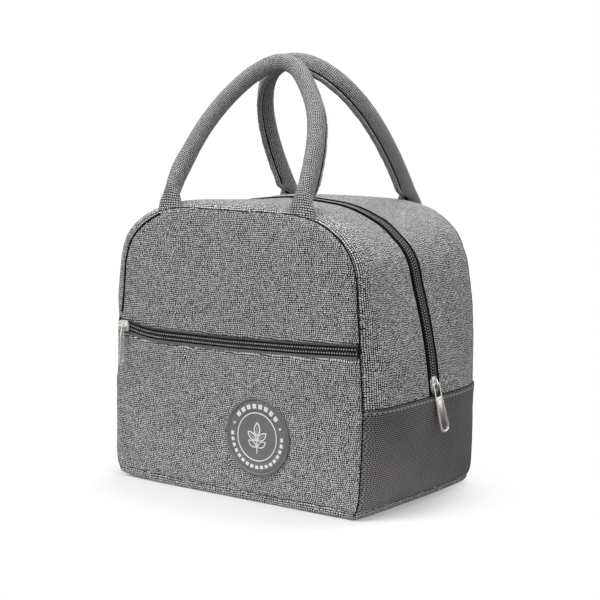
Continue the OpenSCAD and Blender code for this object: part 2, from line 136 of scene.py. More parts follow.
def outline_x(z):
    """half width of the seam outline, corners included"""
    z = np.asarray(z, float)
    sine = np.clip((z - CORNER_Z) / CORNER_HEIGHT, 0, 1)
    cosine = np.maximum(0, 1 - sine ** CORNER_POWER) ** (1 / CORNER_POWER)
    return np.where(z <= CORNER_Z, wall_x(z), corner_x(cosine, sine))


WALL_POINTS = 160


def make_arch():
    """(x, z) of the outline from the right foot over the top to the left foot"""
    wall_z = np.linspace(BASE_Z, CORNER_Z, WALL_POINTS)
    turn = np.radians(np.linspace(0, 90, 240))[1:]
    cosine, sine = np.cos(turn) ** (2 / CORNER_POWER), np.sin(turn) ** (2 / CORNER_POWER)
    top_x = np.linspace(CORNER_X, 0, 30)[1:]
    right = np.vstack([
        np.column_stack([wall_x(wall_z), wall_z]),
        np.column_stack([corner_x(cosine, sine), CORNER_Z + CORNER_HEIGHT * sine]),
        np.column_stack([top_x, np.full(len(top_x), HEIGHT)])])
    return np.vstack([right, right[::-1][1:] * [-1, 1]])


ARCH = make_arch()
ARCH_S = path_length(ARCH)
ARCH_LENGTH = ARCH_S[-1]


def arch_at(s):
    """(x, z) points and outward normals of the outline at arc lengths s"""
    s = np.asarray(s, float)
    before = interp_columns(np.clip(s - 2.5, 0, ARCH_LENGTH), ARCH_S, ARCH)
    after = interp_columns(np.clip(s + 2.5, 0, ARCH_LENGTH), ARCH_S, ARCH)
    tangent = unit(after - before)
    normal = np.stack([tangent[..., 1], -tangent[..., 0]], -1)
    return interp_columns(s, ARCH_S, ARCH), normal


def on_arch(s, y, out):
    """3-D points standing `out` mm outside the outline"""
    point, normal = arch_at(s)
    moved = point + normal * np.asarray(out)[..., None]
    return np.stack(np.broadcast_arrays(moved[..., 0], y, moved[..., 1]), -1)


def wall_s(z):
    """arc length at which the right-hand wall reaches height z"""
    return np.interp(z, ARCH[:WALL_POINTS, 1], ARCH_S[:WALL_POINTS])


def edge_distance(x, z):
    """distance in the front plane to the outline or the floor seam"""
    x, z = np.asarray(x, float), np.asarray(z, float)
    near = ARCH[::2]
    to_arch = np.hypot(x[..., None] - near[:, 0], z[..., None] - near[:, 1]).min(-1)
    return np.minimum(to_arch, np.abs(z - FLOOR_SEAM_Z))


# ------------------------------------------------------------------ relief of the cloth
def waves(seed, count, shortest, longest):
    """smooth random relief made of plane waves"""
    rng = np.random.default_rng(seed)
    number = 2 * math.pi / rng.uniform(shortest, longest, count)
    heading = rng.uniform(0, 2 * math.pi, count)
    phase = rng.uniform(0, 2 * math.pi, count)
    size = (1 / number) / np.sqrt(((1 / number) ** 2).sum() / 2)

    def relief(u, v):
        return sum(
            size[i] * np.sin(number[i] * (math.cos(heading[i]) * u + math.sin(heading[i]) * v)
                             + phase[i])
            for i in range(count))
    return relief


PANEL_RELIEF = waves(3, 14, 25.0, 90.0)
STRIP_RELIEF = waves(5, 14, 22, 80)
FINE_RELIEF = waves(9, 18, 7, 16)


def panel_bulge(x, z):
    """how far a front or back panel stands out of its seam plane"""
    edge = edge_distance(x, z)
    bulge = -1.3 + 2.0 * rise(edge, 1.1) + 3.9 * rise(edge, 24)
    bulge = bulge + 0.32 * PANEL_RELIEF(x, z) * rise(edge, 18)
    bulge = bulge + 0.09 * FINE_RELIEF(x, z) * fade(edge, 9) * rise(edge, 1.5)
    return bulge - 1.5 * fade(np.clip(z - FLOOR_SEAM_Z, 0, None), 7.0) * rise(edge, 1.5)


def crown_at(s):
    """extra height of the strip along the flat top"""
    x, z = np.interp(s, ARCH_S, ARCH[:, 0]), np.interp(s, ARCH_S, ARCH[:, 1])
    return np.clip((z - 185) / 15, 0, 1) * 1.6 * (1 - (x / 100.0) ** 2)


def strip_swell(y, s):
    """how far the top and end strip stands out of the outline"""
    edge = HALF_DEPTH - np.abs(y)
    swell = -1.3 + 2.0 * rise(edge, 1.0) + 5.4 * rise(edge, 6.5)
    swell = swell + crown_at(s) * rise(edge, 25)
    calm_middle = np.clip((np.abs(y) - 4) / 14, 0.15, 1)
    swell = swell + 0.28 * STRIP_RELIEF(s, y) * rise(edge, 14) * calm_middle
    return swell + 0.09 * FINE_RELIEF(s, y) * fade(edge, 8) * rise(edge, 1.5)


# ------------------------------------------------------------------ slack of the whole bag
# inward shift of the back's side edges, by height
BACK_IN_Z = [0, 15, 28, 41, 54, 67, 80, 93, 107, 120, 133, 146, 159, 172, 185, 198]
BACK_IN = [1.8, 2.4, 3.4, 4.0, 4.9, 5.2, 4.1, 3.0, 1.9, 1.5, 1.4, 2.4, 3.4, 4.3, 2.8, 1.0]
# inward shift of the front's left edge, by height
LEFT_IN_Z = [0, 20, 35, 60, 85, 100, 112, 125, 140, 165, 178, 190, 200]
LEFT_IN = [0, -0.2, 1.2, 2.2, 2.4, 1.2, 0.1, -1.0, -1.2, -0.9, -1.7, -1.2, 0]
# sag of the strip round a top corner, by angle in degrees about (x 40, z 130)
SAG_ANGLE = [-35, -20, -3, 9, 24, 50, 71, 92, 118, 140]
SAG = [0.4, 0.7, 2.7, 4.7, 7.6, 9.9, 8.0, 3.6, 0.8, 0.5]


def belly_at(z):
    return BELLY * np.interp(z, [0, PATCH_Z, CORNER_Z], [0, 1, 0])


def slacken(vertices):
    """bellies the ends, slims the back, drops the top corners and lifts the left foot"""
    x, y, z = np.asarray(vertices, float).T
    outward = belly_at(z) * np.clip(1 - (np.abs(y) / HALF_DEPTH) ** 4, 0, 1)
    outward -= np.interp(z, BACK_IN_Z, BACK_IN) * smoothstep((y - 15) / 60)
    outward -= (x < 0) * np.interp(z, LEFT_IN_Z, LEFT_IN) * smoothstep((-y - 15) / 60)
    # above the pocket the front's left edge draws in while the end strip rolls out past it
    upper_left = smoothstep((z - 106) / 28) * (x < 0)
    drawn_in = 2.6 * np.clip((-y - 70) / 4.5, 0, 1)
    rolled_out = 4.4 * np.exp(-((-y - 64.5) / 6.0) ** 2)
    outward -= upper_left * (drawn_in - rolled_out)
    towards_end = np.clip(np.abs(x) / 100, 0, 1) ** 2
    # the strip is slack between the two panels round each top corner
    angle = np.arctan2(z - 130, np.abs(x) - 40)
    sag = np.interp(np.degrees(angle), SAG_ANGLE, SAG)
    sag = sag * np.clip(1 - (y / HALF_DEPTH) ** 2, 0, 1) ** 2 * ((z < 216) & (z > 60))
    left_foot = np.clip((-x - 45) / 62, 0, 1.1)
    lift = 3.0 * left_foot ** 2 * np.clip(1 - z / 60, 0, 1) ** 2
    return np.column_stack([
        x + np.sign(x) * (outward * towards_end - sag * np.cos(angle)),
        y,
        z + lift - sag * np.sin(angle)])


# ------------------------------------------------------------------ mesh helpers
COLLECTION = bpy.context.scene.collection


def attach(piece, body, slot, *replaced):
    """body is the name of the body to ride, or the arguments of a blend, which are not used: the
    piece is then only baked in place
    """
    if isinstance(body, str):
        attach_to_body(piece, body)
    else:
        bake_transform(piece)
    if replaced:
        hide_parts(*replaced)


def mesh_object(name, vertices, faces, uvs, material, smooth=True, slack=True):
    """object from vertices in mm, with one UV (mm) per vertex"""
    if slack:
        vertices = slacken(vertices)
    mesh = bpy.data.meshes.new(name)
    mesh.from_pydata((np.asarray(vertices, float) * MM).tolist(), [], faces)
    mesh.update()
    if uvs is not None:
        layer = mesh.uv_layers.new(name="UVMap")
        corner = np.zeros(len(mesh.loops), int)
        mesh.loops.foreach_get("vertex_index", corner)
        layer.data.foreach_set("uv", np.asarray(uvs, float)[corner].astype(np.float32).ravel())
    mesh.polygons.foreach_set("use_smooth", [smooth] * len(mesh.polygons))
    piece = bpy.data.objects.new(name, mesh)
    COLLECTION.objects.link(piece)
    mesh.materials.append(material)
    return piece


def grid_faces(rows, columns, close_rows=False, close_columns=False, flip=False):
    faces = []
    for i in range(rows if close_rows else rows - 1):
        for j in range(columns if close_columns else columns - 1):
            here, above = i * columns, (i + 1) % rows * columns
            right = (j + 1) % columns
            face = (here + j, above + j, above + right, here + right)
            faces.append((face[0], face[3], face[2], face[1]) if flip else face)
    return faces


def add_thickness(piece, thickness):
    solidify = piece.modifiers.new("thickness", "SOLIDIFY")
    solidify.thickness = thickness * MM
    solidify.offset = -1


def sheet(name, points, uvs, material, thickness, flip=False):
    """cloth sheet through a grid of points"""
    faces = grid_faces(*points.shape[:2], flip=flip)
    piece = mesh_object(name, points.reshape(-1, 3), faces, uvs.reshape(-1, 2), material)
    add_thickness(piece, thickness)
    return piece


def unit_capsule(sides=6):
    """rounded bar of half length 1 and radius 1 along x"""
    rings = ((-0.86, 0.62), (-0.5, 1.0), (0.5, 1.0), (0.86, 0.62))    # x, radius
    vertices = [(-1, 0, 0)]
    for x, radius in rings:
        for k in range(sides):
            turn = 2 * math.pi * k / sides
            vertices.append((x, radius * math.cos(turn), radius * math.sin(turn)))
    vertices.append((1, 0, 0))
    faces = [(0, 1 + (k + 1) % sides, 1 + k) for k in range(sides)]
    for i in range(len(rings) - 1):
        for k in range(sides):
            first, second = 1 + i * sides + k, 1 + i * sides + (k + 1) % sides
            faces.append((first, second, second + sides, first + sides))
    end = 1 + len(rings) * sides
    faces += [(end, end - sides + k, end - sides + (k + 1) % sides) for k in range(sides)]
    return np.array(vertices, float), faces


CAPSULE_VERTICES, CAPSULE_FACES = unit_capsule()


def capsules(name, centres, along, up, size, material):
    """many small rounded bars; size is half length, half width and half height"""
    centres = np.asarray(centres, float)
    along = unit(np.broadcast_to(np.asarray(along, float), centres.shape))
    across = unit(np.cross(np.broadcast_to(up, centres.shape), along))
    up = np.cross(along, across)
    vertices = centres[:, None]
    for k, axis in enumerate((along, across, up)):
        vertices = vertices + CAPSULE_VERTICES[None, :, k:k + 1] * size[k] * axis[:, None]
    count, each = len(centres), len(CAPSULE_VERTICES)
    faces = [tuple(i + each * k for i in face) for k in range(count) for face in CAPSULE_FACES]
    uvs = np.stack([np.repeat(np.arange(count) * 3.0, each),
                    np.tile(CAPSULE_VERTICES[:, 0] * 2, count)], -1)
    return mesh_object(name, vertices.reshape(-1, 3), faces, uvs, material)


def stitches(name, points, normals, pitch, length, radius, material, lift=0.0):
    """row of stitches along a polyline with surface normals"""
    both = np.hstack([points, normals])
    # turns of the normal count towards the length that is shared out
    at = even_stations(path_length(both)[-1], pitch)
    both = interp_columns(at, path_length(points), both)
    centres, up = both[:, :3], both[:, 3:]
    size = (length / 2, radius, radius * 0.8)
    return capsules(name, centres + up * lift, np.gradient(centres, axis=0), up, size, material)


def sweep(name, path, first_axis, second_axis, sections, uvs, material, flip=False):
    """capped tube through one section (in the two axes) per path point"""
    rows, columns = sections.shape[:2]
    vertices = (path[:, None] + sections[..., 0:1] * first_axis[:, None]
                + sections[..., 1:2] * second_axis[:, None])
    faces = grid_faces(rows, columns, close_columns=True, flip=flip)
    end = (rows - 1) * columns
    caps = [tuple(reversed(range(columns))), tuple(range(end, end + columns))]
    faces += [cap[::-1] for cap in caps] if flip else caps
    return mesh_object(name, vertices.reshape(-1, 3), faces, uvs.reshape(-1, 2), material)


def cord(name, path, radius, sides=8):
    """round dark cord, painted shade laid into creases, grooves and hollows"""
    path = np.asarray(path, float)
    tangent = unit(np.gradient(path, axis=0))
    runs_across = abs(tangent[:, 1]).max() >= 0.95
    first = unit(np.cross(tangent, [0, 0, 1.0] if runs_across else [0, 1.0, 0]))
    turn = 2 * math.pi * np.arange(sides) / sides
    circle = np.stack([radius * np.cos(turn), radius * np.sin(turn)], -1)
    sections = np.broadcast_to(circle, (len(path), sides, 2))
    uvs = pair_grid(path_length(path), turn * radius)[..., ::-1]
    return sweep(name, path, first, np.cross(tangent, first), sections, uvs, M_PAINTED_SHADE)


# ------------------------------------------------------------------ shader helpers
class Value:
    """output socket of a node; arithmetic on it adds math nodes"""

    def __init__(self, nodes, socket):
        self.nodes = nodes
        self.socket = socket

    def output(self, name):
        """another output of the same node"""
        return Value(self.nodes, self.socket.node.outputs[name])

    def __add__(self, other):
        return self.nodes.math("ADD", self, other)

    def __radd__(self, other):
        return self.nodes.math("ADD", other, self)

    def __sub__(self, other):
        return self.nodes.math("SUBTRACT", self, other)

    def __mul__(self, other):
        return self.nodes.math("MULTIPLY", self, other)

    def __truediv__(self, other):
        return self.nodes.math("DIVIDE", self, other)

    def __abs__(self):
        return self.nodes.math("ABSOLUTE", self)

    def floor(self):
        return self.nodes.math("FLOOR", self)

    def sine(self):
        return self.nodes.math("SINE", self)


class Nodes:
    """adds nodes to a tree"""

    def __init__(self, tree):
        self.tree = tree

    def feed(self, socket, value):
        """links a Value to an input, or sets the input to a plain value"""
        if isinstance(value, Value):
            self.tree.links.new(value.socket, socket)
        else:
            socket.default_value = value

    def node(self, kind, inputs, output=0, **settings):
        node = self.tree.nodes.new(kind)
        for key, setting in settings.items():
            setattr(node, key, setting)
        for key, value in inputs.items():
            self.feed(node.inputs[key], value)
        return Value(self, node.outputs[output])

    def math(self, operation, *values, clamp=False):
        return self.node("ShaderNodeMath", dict(enumerate(values)),
                         operation=operation, use_clamp=clamp)

    def vector(self, x, y, z):
        return self.node("ShaderNodeCombineXYZ", {0: x, 1: y, 2: z})

    def mix(self, factor, low, high):
        return self.node("ShaderNodeMix", {0: factor, 2: low, 3: high}, data_type="FLOAT")

    def ramp(self, factor, stops):
        """stops are (position, colour)"""
        ramp = self.node("ShaderNodeValToRGB", {0: factor})
        elements = ramp.socket.node.color_ramp.elements
        while len(elements) < len(stops):
            elements.new(0.5)
        for k, (position, colour) in enumerate(stops):
            elements[k].position = position
            elements[k].color = (*colour, 1)
        return ramp


class Shader(Nodes):
    """material built round its Principled node"""

    def __init__(self, name, rough, metallic=0.0, specular=0.5):
        self.material = bpy.data.materials.new(name)
        self.material.use_nodes = True
        super().__init__(self.material.node_tree)
        self.principled = self.tree.nodes["Principled BSDF"]
        self.set("Roughness", rough)
        self.set("Metallic", metallic)
        self.set("Specular IOR Level", specular)

    def set(self, name, value):
        self.feed(self.principled.inputs[name], value)

    def uv(self):
        uv_map = self.node("ShaderNodeUVMap", {}, uv_map="UVMap")
        u = self.node("ShaderNodeSeparateXYZ", {0: uv_map})
        return u, u.output(1)

    def position(self):
        """place in the scene, in mm"""
        place = self.node("ShaderNodeNewGeometry", {}, "Position")
        return self.node("ShaderNodeVectorMath", {0: place, "Scale": 1000}, operation="SCALE")

    def noise(self, vector, scale=1.0, detail=2.0, rough=0.5):
        inputs = {"Vector": vector, "Scale": scale, "Detail": detail, "Roughness": rough}
        return self.node("ShaderNodeTexNoise", inputs, "Fac")

    def random(self, x, y, z):
        """random value per cell"""
        return self.node("ShaderNodeTexWhiteNoise", {"Vector": self.vector(x, y, z)}, "Value",
                         noise_dimensions="3D")

    def step(self, value, low, high):
        return self.node("ShaderNodeMapRange", {0: value, 1: low, 2: high},
                         interpolation_type="SMOOTHSTEP")

    def bump(self, height, distance, strength):
        """surface relief; distance in mm"""
        inputs = {"Strength": strength, "Distance": distance * MM, "Height": height}
        self.set("Normal", self.node("ShaderNodeBump", inputs))


# ------------------------------------------------------------------ materials
def grey(value):
    return (value, value, value)


def woven(name, pitch_u, pitch_v, light, mid, knot, grain, slub, fine, bump,
          dark=0.006, slip=1.0, seed=0.0):
    """Canvas of light knots with dark gaps and short slubs. The light tops and dark gaps of the
    knots are partly painted light and shade of the weave's relief, partly the yarn's own grey.

    light, mid, dark: greys; knot, grain, slub, fine: strength of the knots' painted light and
    shade, of the random cells, of the slow tone along threads and of the small specks; slip: how
    far rows of knots are shifted against each other.
    """
    cloth = Shader(name, rough=0.86, specular=0.2)
    u, v = cloth.uv()

    def drift_noise(frequency, offset, detail):
        place = cloth.vector(u * frequency, v * frequency, seed + offset)
        return cloth.noise(place, detail=detail)

    # threads wander slowly as a group and a little one by one
    wander_u, wander_v = drift_noise(0.05, 0.0, 2.0), drift_noise(0.05, 5.0, 2.0)
    jitter_u, jitter_v = drift_noise(0.45, 60.0, 1.0), drift_noise(0.45, 70.0, 1.0)
    thread_u = (u + (wander_u * 3.0 + jitter_u * 0.4)) / pitch_u
    thread_v = (v + (wander_v * 3.0 + jitter_v * 0.4)) / pitch_v
    column, row = thread_u.floor(), thread_v.floor()
    wave_u, wave_v = (thread_u * math.pi).sine(), (thread_v * math.pi).sine()
    upright_on_top = cloth.step(wave_u * wave_v, -0.25, 0.25)
    height_u, height_v = abs(wave_u), abs(wave_v)

    def knots(along, across, line, height, offset):
        """knots of one set of threads, shifted line by line, and their random cells"""
        shift = cloth.random(line, offset + 2.0, 4.0)
        place = cloth.vector(along * 0.16, line * 7.31, offset + 20.0)
        drift = cloth.noise(place, detail=1.0)
        shifted = across + (shift * slip + drift * (2.6 * slip))
        cell = cloth.random(shifted.floor(), line, offset + 1.0)
        return cloth.step(abs((shifted * math.pi).sine()) * height, 0.22, 0.92), cell

    cross_knots, cross_cells = knots(u, thread_u, row, height_v, seed)
    upright_knots, upright_cells = knots(v, thread_v, column, height_u, seed + 30.0)
    cell = (cross_cells + upright_cells) * 0.5
    tone_u = cloth.noise(cloth.vector(column * 5.71, v * 0.12, seed + 3.0), rough=0.6)
    tone_v = cloth.noise(cloth.vector(u * 0.12, row * 5.71, seed + 9.0), rough=0.6)
    tone = (tone_u + tone_v) * 0.5 - 0.5
    # painted light and shade of the knots: brightest on raised crossings, darkest in the gaps
    relief_shading = (cross_knots * 0.72 + upright_knots * 0.28) - 0.33
    speck = cloth.random((u / 0.85).floor(), (v / 0.78).floor(), seed + 11.0)
    shade = (cell - 0.5) * grain + relief_shading * knot
    shade = shade + tone * (3.0 * slub)
    shade = shade + (speck - 0.5) * fine
    broad = drift_noise(0.02, 40.0, 2.0) - 0.5
    shade = cloth.math("ADD", shade, broad * 0.08 + 0.5, clamp=True)
    height = cloth.mix(upright_on_top, height_v, height_u)
    cool = [(value * 0.99, value, value * 1.009) for value in (dark, mid, light)]
    cloth.set("Base Color", cloth.ramp(shade, list(zip((0.0, 0.5, 1.0), cool))))
    cloth.bump(height * 0.8 + shade * 0.4, distance=bump, strength=0.9)
    cloth.set("Roughness", 0.80 + cell * 0.12)
    cloth.set("Sheen Weight", 0.12)
    cloth.set("Sheen Roughness", 0.5)
    return cloth.material


def twill(name):
    """dark patch cloth: fine raised diamonds on a slanting rib"""
    rib_u, rib_v = 1.9, 1.35
    cloth = Shader(name, rough=0.62, specular=0.35)
    u, v = cloth.uv()
    row = v / rib_v
    place = cloth.vector(u * 0.10, row.floor() * 7.31, 5.0)
    drift = cloth.noise(place, detail=1.0)
    column = u / rib_u + (row.floor() * 0.5 + drift * 1.2)
    rising = ((column + row) * math.pi).sine()
    falling = ((column - row) * math.pi).sine()
    diamond = cloth.step(rising * falling, -0.35, 0.55)
    grain = cloth.noise(cloth.vector(u * 0.8, v * 0.8, 2.0), detail=3.0, rough=0.7)
    broad = cloth.noise(cloth.vector(u * 0.025, v * 0.025, 7.0))
    shade = cloth.math("ADD", diamond * 0.85, grain * 0.25, clamp=True)
    shade = cloth.math("ADD", shade, (broad - 0.5) * 0.35, clamp=True)
    cloth.set("Base Color", cloth.ramp(shade, [
        (0.0, (0.012, 0.011, 0.012)), (0.5, (0.102, 0.096, 0.100)),
        (1.0, (0.375, 0.357, 0.366))]))
    cloth.bump(diamond + grain * 0.4, distance=0.22, strength=0.9)
    cloth.set("Roughness", 0.52 + grain * 0.25)
    return cloth.material


def ribbed(name, dark, light, pitch=0.6, rough=0.75, specular=0.3):
    """woven tape with fine ribs"""
    tape = Shader(name, rough, specular=specular)
    u, v = tape.uv()
    ribs = abs((v * (math.pi / pitch)).sine())
    cross_ribs = abs((u * (math.pi / (pitch * 1.7))).sine())
    grain = tape.noise(tape.vector(u, v, 3.0), scale=1.3, detail=3.0, rough=0.6)
    shade = tape.math("ADD", (ribs + cross_ribs) * 0.3, grain * 0.55, clamp=True)
    tape.set("Base Color", tape.ramp(shade, [(0.15, dark), (0.9, light)]))
    tape.bump(ribs + cross_ribs, distance=0.12, strength=0.8)
    return tape.material


def nylon(name, dark, light, rough):
    thread = Shader(name, rough, specular=0.45)
    place = thread.position()
    broad = thread.noise(place, scale=0.55, detail=3.0, rough=0.6)
    fine = thread.noise(place, scale=4.0, detail=2.0, rough=0.6)
    shade = broad * 0.7 + fine * 0.3
    thread.set("Base Color", thread.ramp(shade, [(0.3, dark), (0.7, light)]))
    thread.set("Roughness", (rough - 0.08) + fine * 0.2)
    thread.bump(fine, distance=0.05, strength=0.6)
    return thread.material


def nickel(name):
    """plated metal with a painted highlight on its sharp edges"""
    plate_ = Shader(name, rough=0.2, metallic=1.0)
    place = plate_.position()
    broad = plate_.noise(place, scale=0.35, detail=3.0, rough=0.6)
    fine = plate_.noise(place, scale=6.0, detail=3.0, rough=0.7)
    # pale convex edges: painted highlight
    pointiness = plate_.node("ShaderNodeNewGeometry", {}, "Pointiness")
    edge_highlight = plate_.step(pointiness, 0.50, 0.58)
    base = plate_.ramp(broad, [(0.3, (0.62, 0.60, 0.565)), (0.7, (0.82, 0.80, 0.765))])
    highlighted_colour = {0: edge_highlight * 0.6, 6: base, 7: (0.80, 0.77, 0.72, 1)}
    plate_.set("Base Color", plate_.node("ShaderNodeMix", highlighted_colour, 2, data_type="RGBA"))
    plate_.set("Roughness", 0.16 + fine * 0.22)
    plate_.bump(fine + broad, distance=0.04, strength=0.5)
    return plate_.material


def tin(name):
    """polished tin: half metal over a pale satin base"""
    metal = Shader(name, rough=0.3, metallic=0.45, specular=0.6)
    fine = metal.noise(metal.position(), scale=1.6, detail=3.0, rough=0.7)
    stops = [(0.3, (0.50, 0.49, 0.465)), (0.6, (0.95, 0.94, 0.91))]
    metal.set("Base Color", metal.ramp(fine, stops))
    metal.set("Roughness", 0.18 + fine * 0.25)
    metal.bump(fine, distance=0.10, strength=0.6)
    return metal.material


def moulded(name, dark, light, rough, grain=0.05):
    solid = Shader(name, rough, specular=0.4)
    place = solid.position()
    broad = solid.noise(place, scale=0.12, detail=3.0, rough=0.6)
    fine = solid.noise(place, scale=3.0, detail=3.0, rough=0.7)
    shade = broad * 0.6 + fine * 0.4
    solid.set("Base Color", solid.ramp(shade, [(0.3, dark), (0.7, light)]))
    solid.set("Roughness", (rough - 0.1) + fine * 0.2)
    solid.bump(fine, distance=grain, strength=0.8)
    return solid.material


def foil(name):
    """creased silver liner"""
    film = Shader(name, rough=0.38, metallic=0.25)
    place = film.position()
    broad = film.noise(place, scale=0.06, detail=4.0, rough=0.65)
    fine = film.noise(place, scale=0.5, detail=3.0, rough=0.7)
    stops = [(0.3, (0.42, 0.44, 0.46)), (0.7, (0.62, 0.64, 0.66))]
    film.set("Base Color", film.ramp(broad * 0.6 + fine * 0.4, stops))
    film.bump(broad + fine * 0.5, distance=0.8, strength=0.7)
    film.set("Roughness", 0.28 + broad * 0.25)
    return film.material


M_BODY = woven("melange_cloth", pitch_u=1.50, pitch_v=1.36, light=0.70, mid=0.115, knot=1.60,
               grain=0.55, slub=0.20, fine=0.60, bump=0.08, dark=0.005)
M_SIDE = woven("melange_cloth_strip", pitch_u=1.45, pitch_v=1.75, light=0.80, mid=0.115,
               knot=1.95, grain=0.80, slub=0.18, fine=0.90, bump=0.06, seed=12.0)
M_HANDLE = woven("handle_cloth", pitch_u=1.30, pitch_v=1.22, light=0.72, mid=0.12, knot=1.75,
                 grain=0.40, slub=0.10, fine=0.3, bump=0.12, slip=0.35, seed=50.0)
M_DARK = twill("patch_cloth")
# near-black cord cloth: every cord that wears it is painted shade
M_PAINTED_SHADE = ribbed("painted_shade_cord", grey(0.003), grey(0.014), pitch=0.8, rough=0.95,
                specular=0.08)
M_TAPE = ribbed("zip_tape_cloth", grey(0.004), grey(0.016), rough=0.95, specular=0.1)
M_STRIP = ribbed("zip_edge_cloth", (0.03, 0.03, 0.031), (0.10, 0.10, 0.102))
M_POCKET_STRIP = ribbed("pocket_zip_edge_shade_cloth", (0.045, 0.045, 0.046), (0.145, 0.145, 0.148))
M_COIL = nylon("zip_coil_nylon", grey(0.008), grey(0.03), rough=0.5)
# pale thread for the zip sewing: the sewing is real, its paleness is painted highlight for the
# glints on the coil
M_THREAD_GLINT = nylon("zip_stitch_thread_glint", grey(0.40), grey(0.75), rough=0.6)
M_LIGHT_STITCH = nylon("light_stitch_thread", (0.38, 0.375, 0.38), (0.62, 0.615, 0.62),
                       rough=0.75)
M_GREY_STITCH = nylon("grey_stitch_thread", grey(0.10), grey(0.20), rough=0.75)
M_NICKEL = nickel("nickel_plate")
M_TIN = tin("polished_tin")
M_BADGE = moulded("badge_pvc", (0.135, 0.135, 0.14), (0.175, 0.175, 0.18), rough=0.55)
M_PRINT = moulded("badge_white", grey(0.74), grey(0.86), rough=0.6, grain=0.03)
M_LINER = foil("silver_liner")
M_BOARD = moulded("stiffener_board", (0.42, 0.40, 0.35), (0.56, 0.54, 0.48), rough=0.7)
# kept in the file for the foam, though no piece here wears it
moulded("foam_white", (0.70, 0.70, 0.68), (0.82, 0.82, 0.80), rough=0.9, grain=0.3)

# ------------------------------------------------------------------ pocket zip line
# x and z of the line along the front
ZIP_LINE_X = [-106, -100, -94, -84, -72, -55, -30, -4, 26, 60, 85, 100, 107.0]
ZIP_LINE_Z = [113.3, 113.0, 112.2, 110.2, 109.0, 108.7, 108.9, 109.2, 109.9, 111.3, 112.4,
              113.1, 113.4]


def zip_z(x):
    """height of the line, smoothed over 12 mm"""
    x = np.asarray(x, float)
    return sum(np.interp(x + shift, ZIP_LINE_X, ZIP_LINE_Z) for shift in (-6, -3, 0, 3, 6)) / 5


def zip_y(x, inward=0.0):
    """depth of the front's surface on the line"""
    return -PANEL_OUT - panel_bulge(x, zip_z(x)) + inward


# ------------------------------------------------------------------ front and back panels
# columns from -1 to 1 across a panel, close together at both ends
ACROSS = np.concatenate([EDGE_STEPS,
                         np.linspace(EDGE_STEPS[-1], 217.0 - EDGE_STEPS[-1], 64)[1:-1],
                         217.0 - EDGE_STEPS[::-1]]) / 108.5 - 1
ZIP_ROW = zip_z(ACROSS * 106.0)
CORNER_TURN = np.radians(np.concatenate([np.arange(3, 60, 3.5), np.arange(60, 90, 3.0)]))
CORNER_ROWS = list(np.unique(np.round(np.concatenate([
    CORNER_Z + CORNER_HEIGHT * np.sin(CORNER_TURN) ** (2 / CORNER_POWER),
    [HEIGHT - 1.0, HEIGHT - 0.4, HEIGHT]]), 3)))


def panel(name, rows, uv_shift, lip=0.0, back=False):
    """panel through rows of heights; lip turns rows inwards at the pocket zip"""
    z = np.array([np.broadcast_to(row, ACROSS.shape) for row in rows])
    x = ACROSS * outline_x(z)
    if back:
        edge = edge_distance(x, z)
        limit = -1.3 + 2.0 * rise(edge, 1.1) + 5.0 * rise(edge, 10)
        bulge = np.minimum(panel_bulge(-x * 0.97 + 3, z), limit)
        y = PANEL_OUT + bulge
    else:
        bulge = panel_bulge(x, z)
        y = -PANEL_OUT - bulge + lip
    # cloth coordinates follow the rolled edge instead of being squeezed there
    pull_x = np.sign(x) * (np.abs(x) / 108) ** 6
    pull_z = np.clip((z - 60) / 140, 0, 1) ** 5
    stretch = 0.75 * np.clip(1.6 - bulge, 0, 3) / (np.hypot(pull_x, pull_z) + 1e-6)
    uvs = np.stack([x + pull_x * stretch, z + pull_z * stretch], -1) + uv_shift
    return sheet(name, np.stack([x, y, z], -1), uvs, M_BODY, 1.0, flip=back)


def upper_front_panel():
    rows = [ZIP_ROW + rise_ for rise_ in (5.3, 5.5, 5.9, 6.5, 7.5, 9.0)]
    rows += [(ZIP_ROW + 9) * (1 - t) + CORNER_Z * t for t in np.linspace(0, 1, 14)[1:-1]]
    rows += [CORNER_Z] + CORNER_ROWS
    lip = np.zeros((len(rows), 1))
    lip[:3, 0] = 1.3, 0.75, 0.25
    piece = panel("front_panel_fabric", rows, [0, 0], lip)
    attach(piece, "front_half", "body_fabric", "front_panel", "front_foam")


def pocket_panel():
    rows = list(FLOOR_ROWS)
    rows += [FLOOR_ROWS[-1] * (1 - t) + (ZIP_ROW - 9.0) * t
             for t in np.linspace(0, 1, 34)[1:-1]]
    rows += [ZIP_ROW - drop for drop in (9.0, 7.6, 6.7, 6.1, 5.7, 5.5)]
    lip = np.zeros((len(rows), 1))
    lip[-3:, 0] = 0.2, 0.7, 1.3
    piece = panel("pocket_panel_fabric", rows, [3.3, 1.7], lip)
    attach(piece, FRONT_FOLD, "body_fabric", "pocket_panel_lower", "pocket_panel_upper",
           "front_foam_lower")


def back_panel():
    rows = list(FLOOR_ROWS) + list(np.linspace(FLOOR_ROWS[-1], CORNER_Z, 46)[1:]) + CORNER_ROWS
    piece = panel("back_panel_fabric", rows, [40.0, 9.0], back=True)
    attach(piece, BACK_FOLD, "body_fabric", "back_panel", "back_panel_lower", "back_foam",
           "back_foam_lower")


upper_front_panel()
pocket_panel()
back_panel()


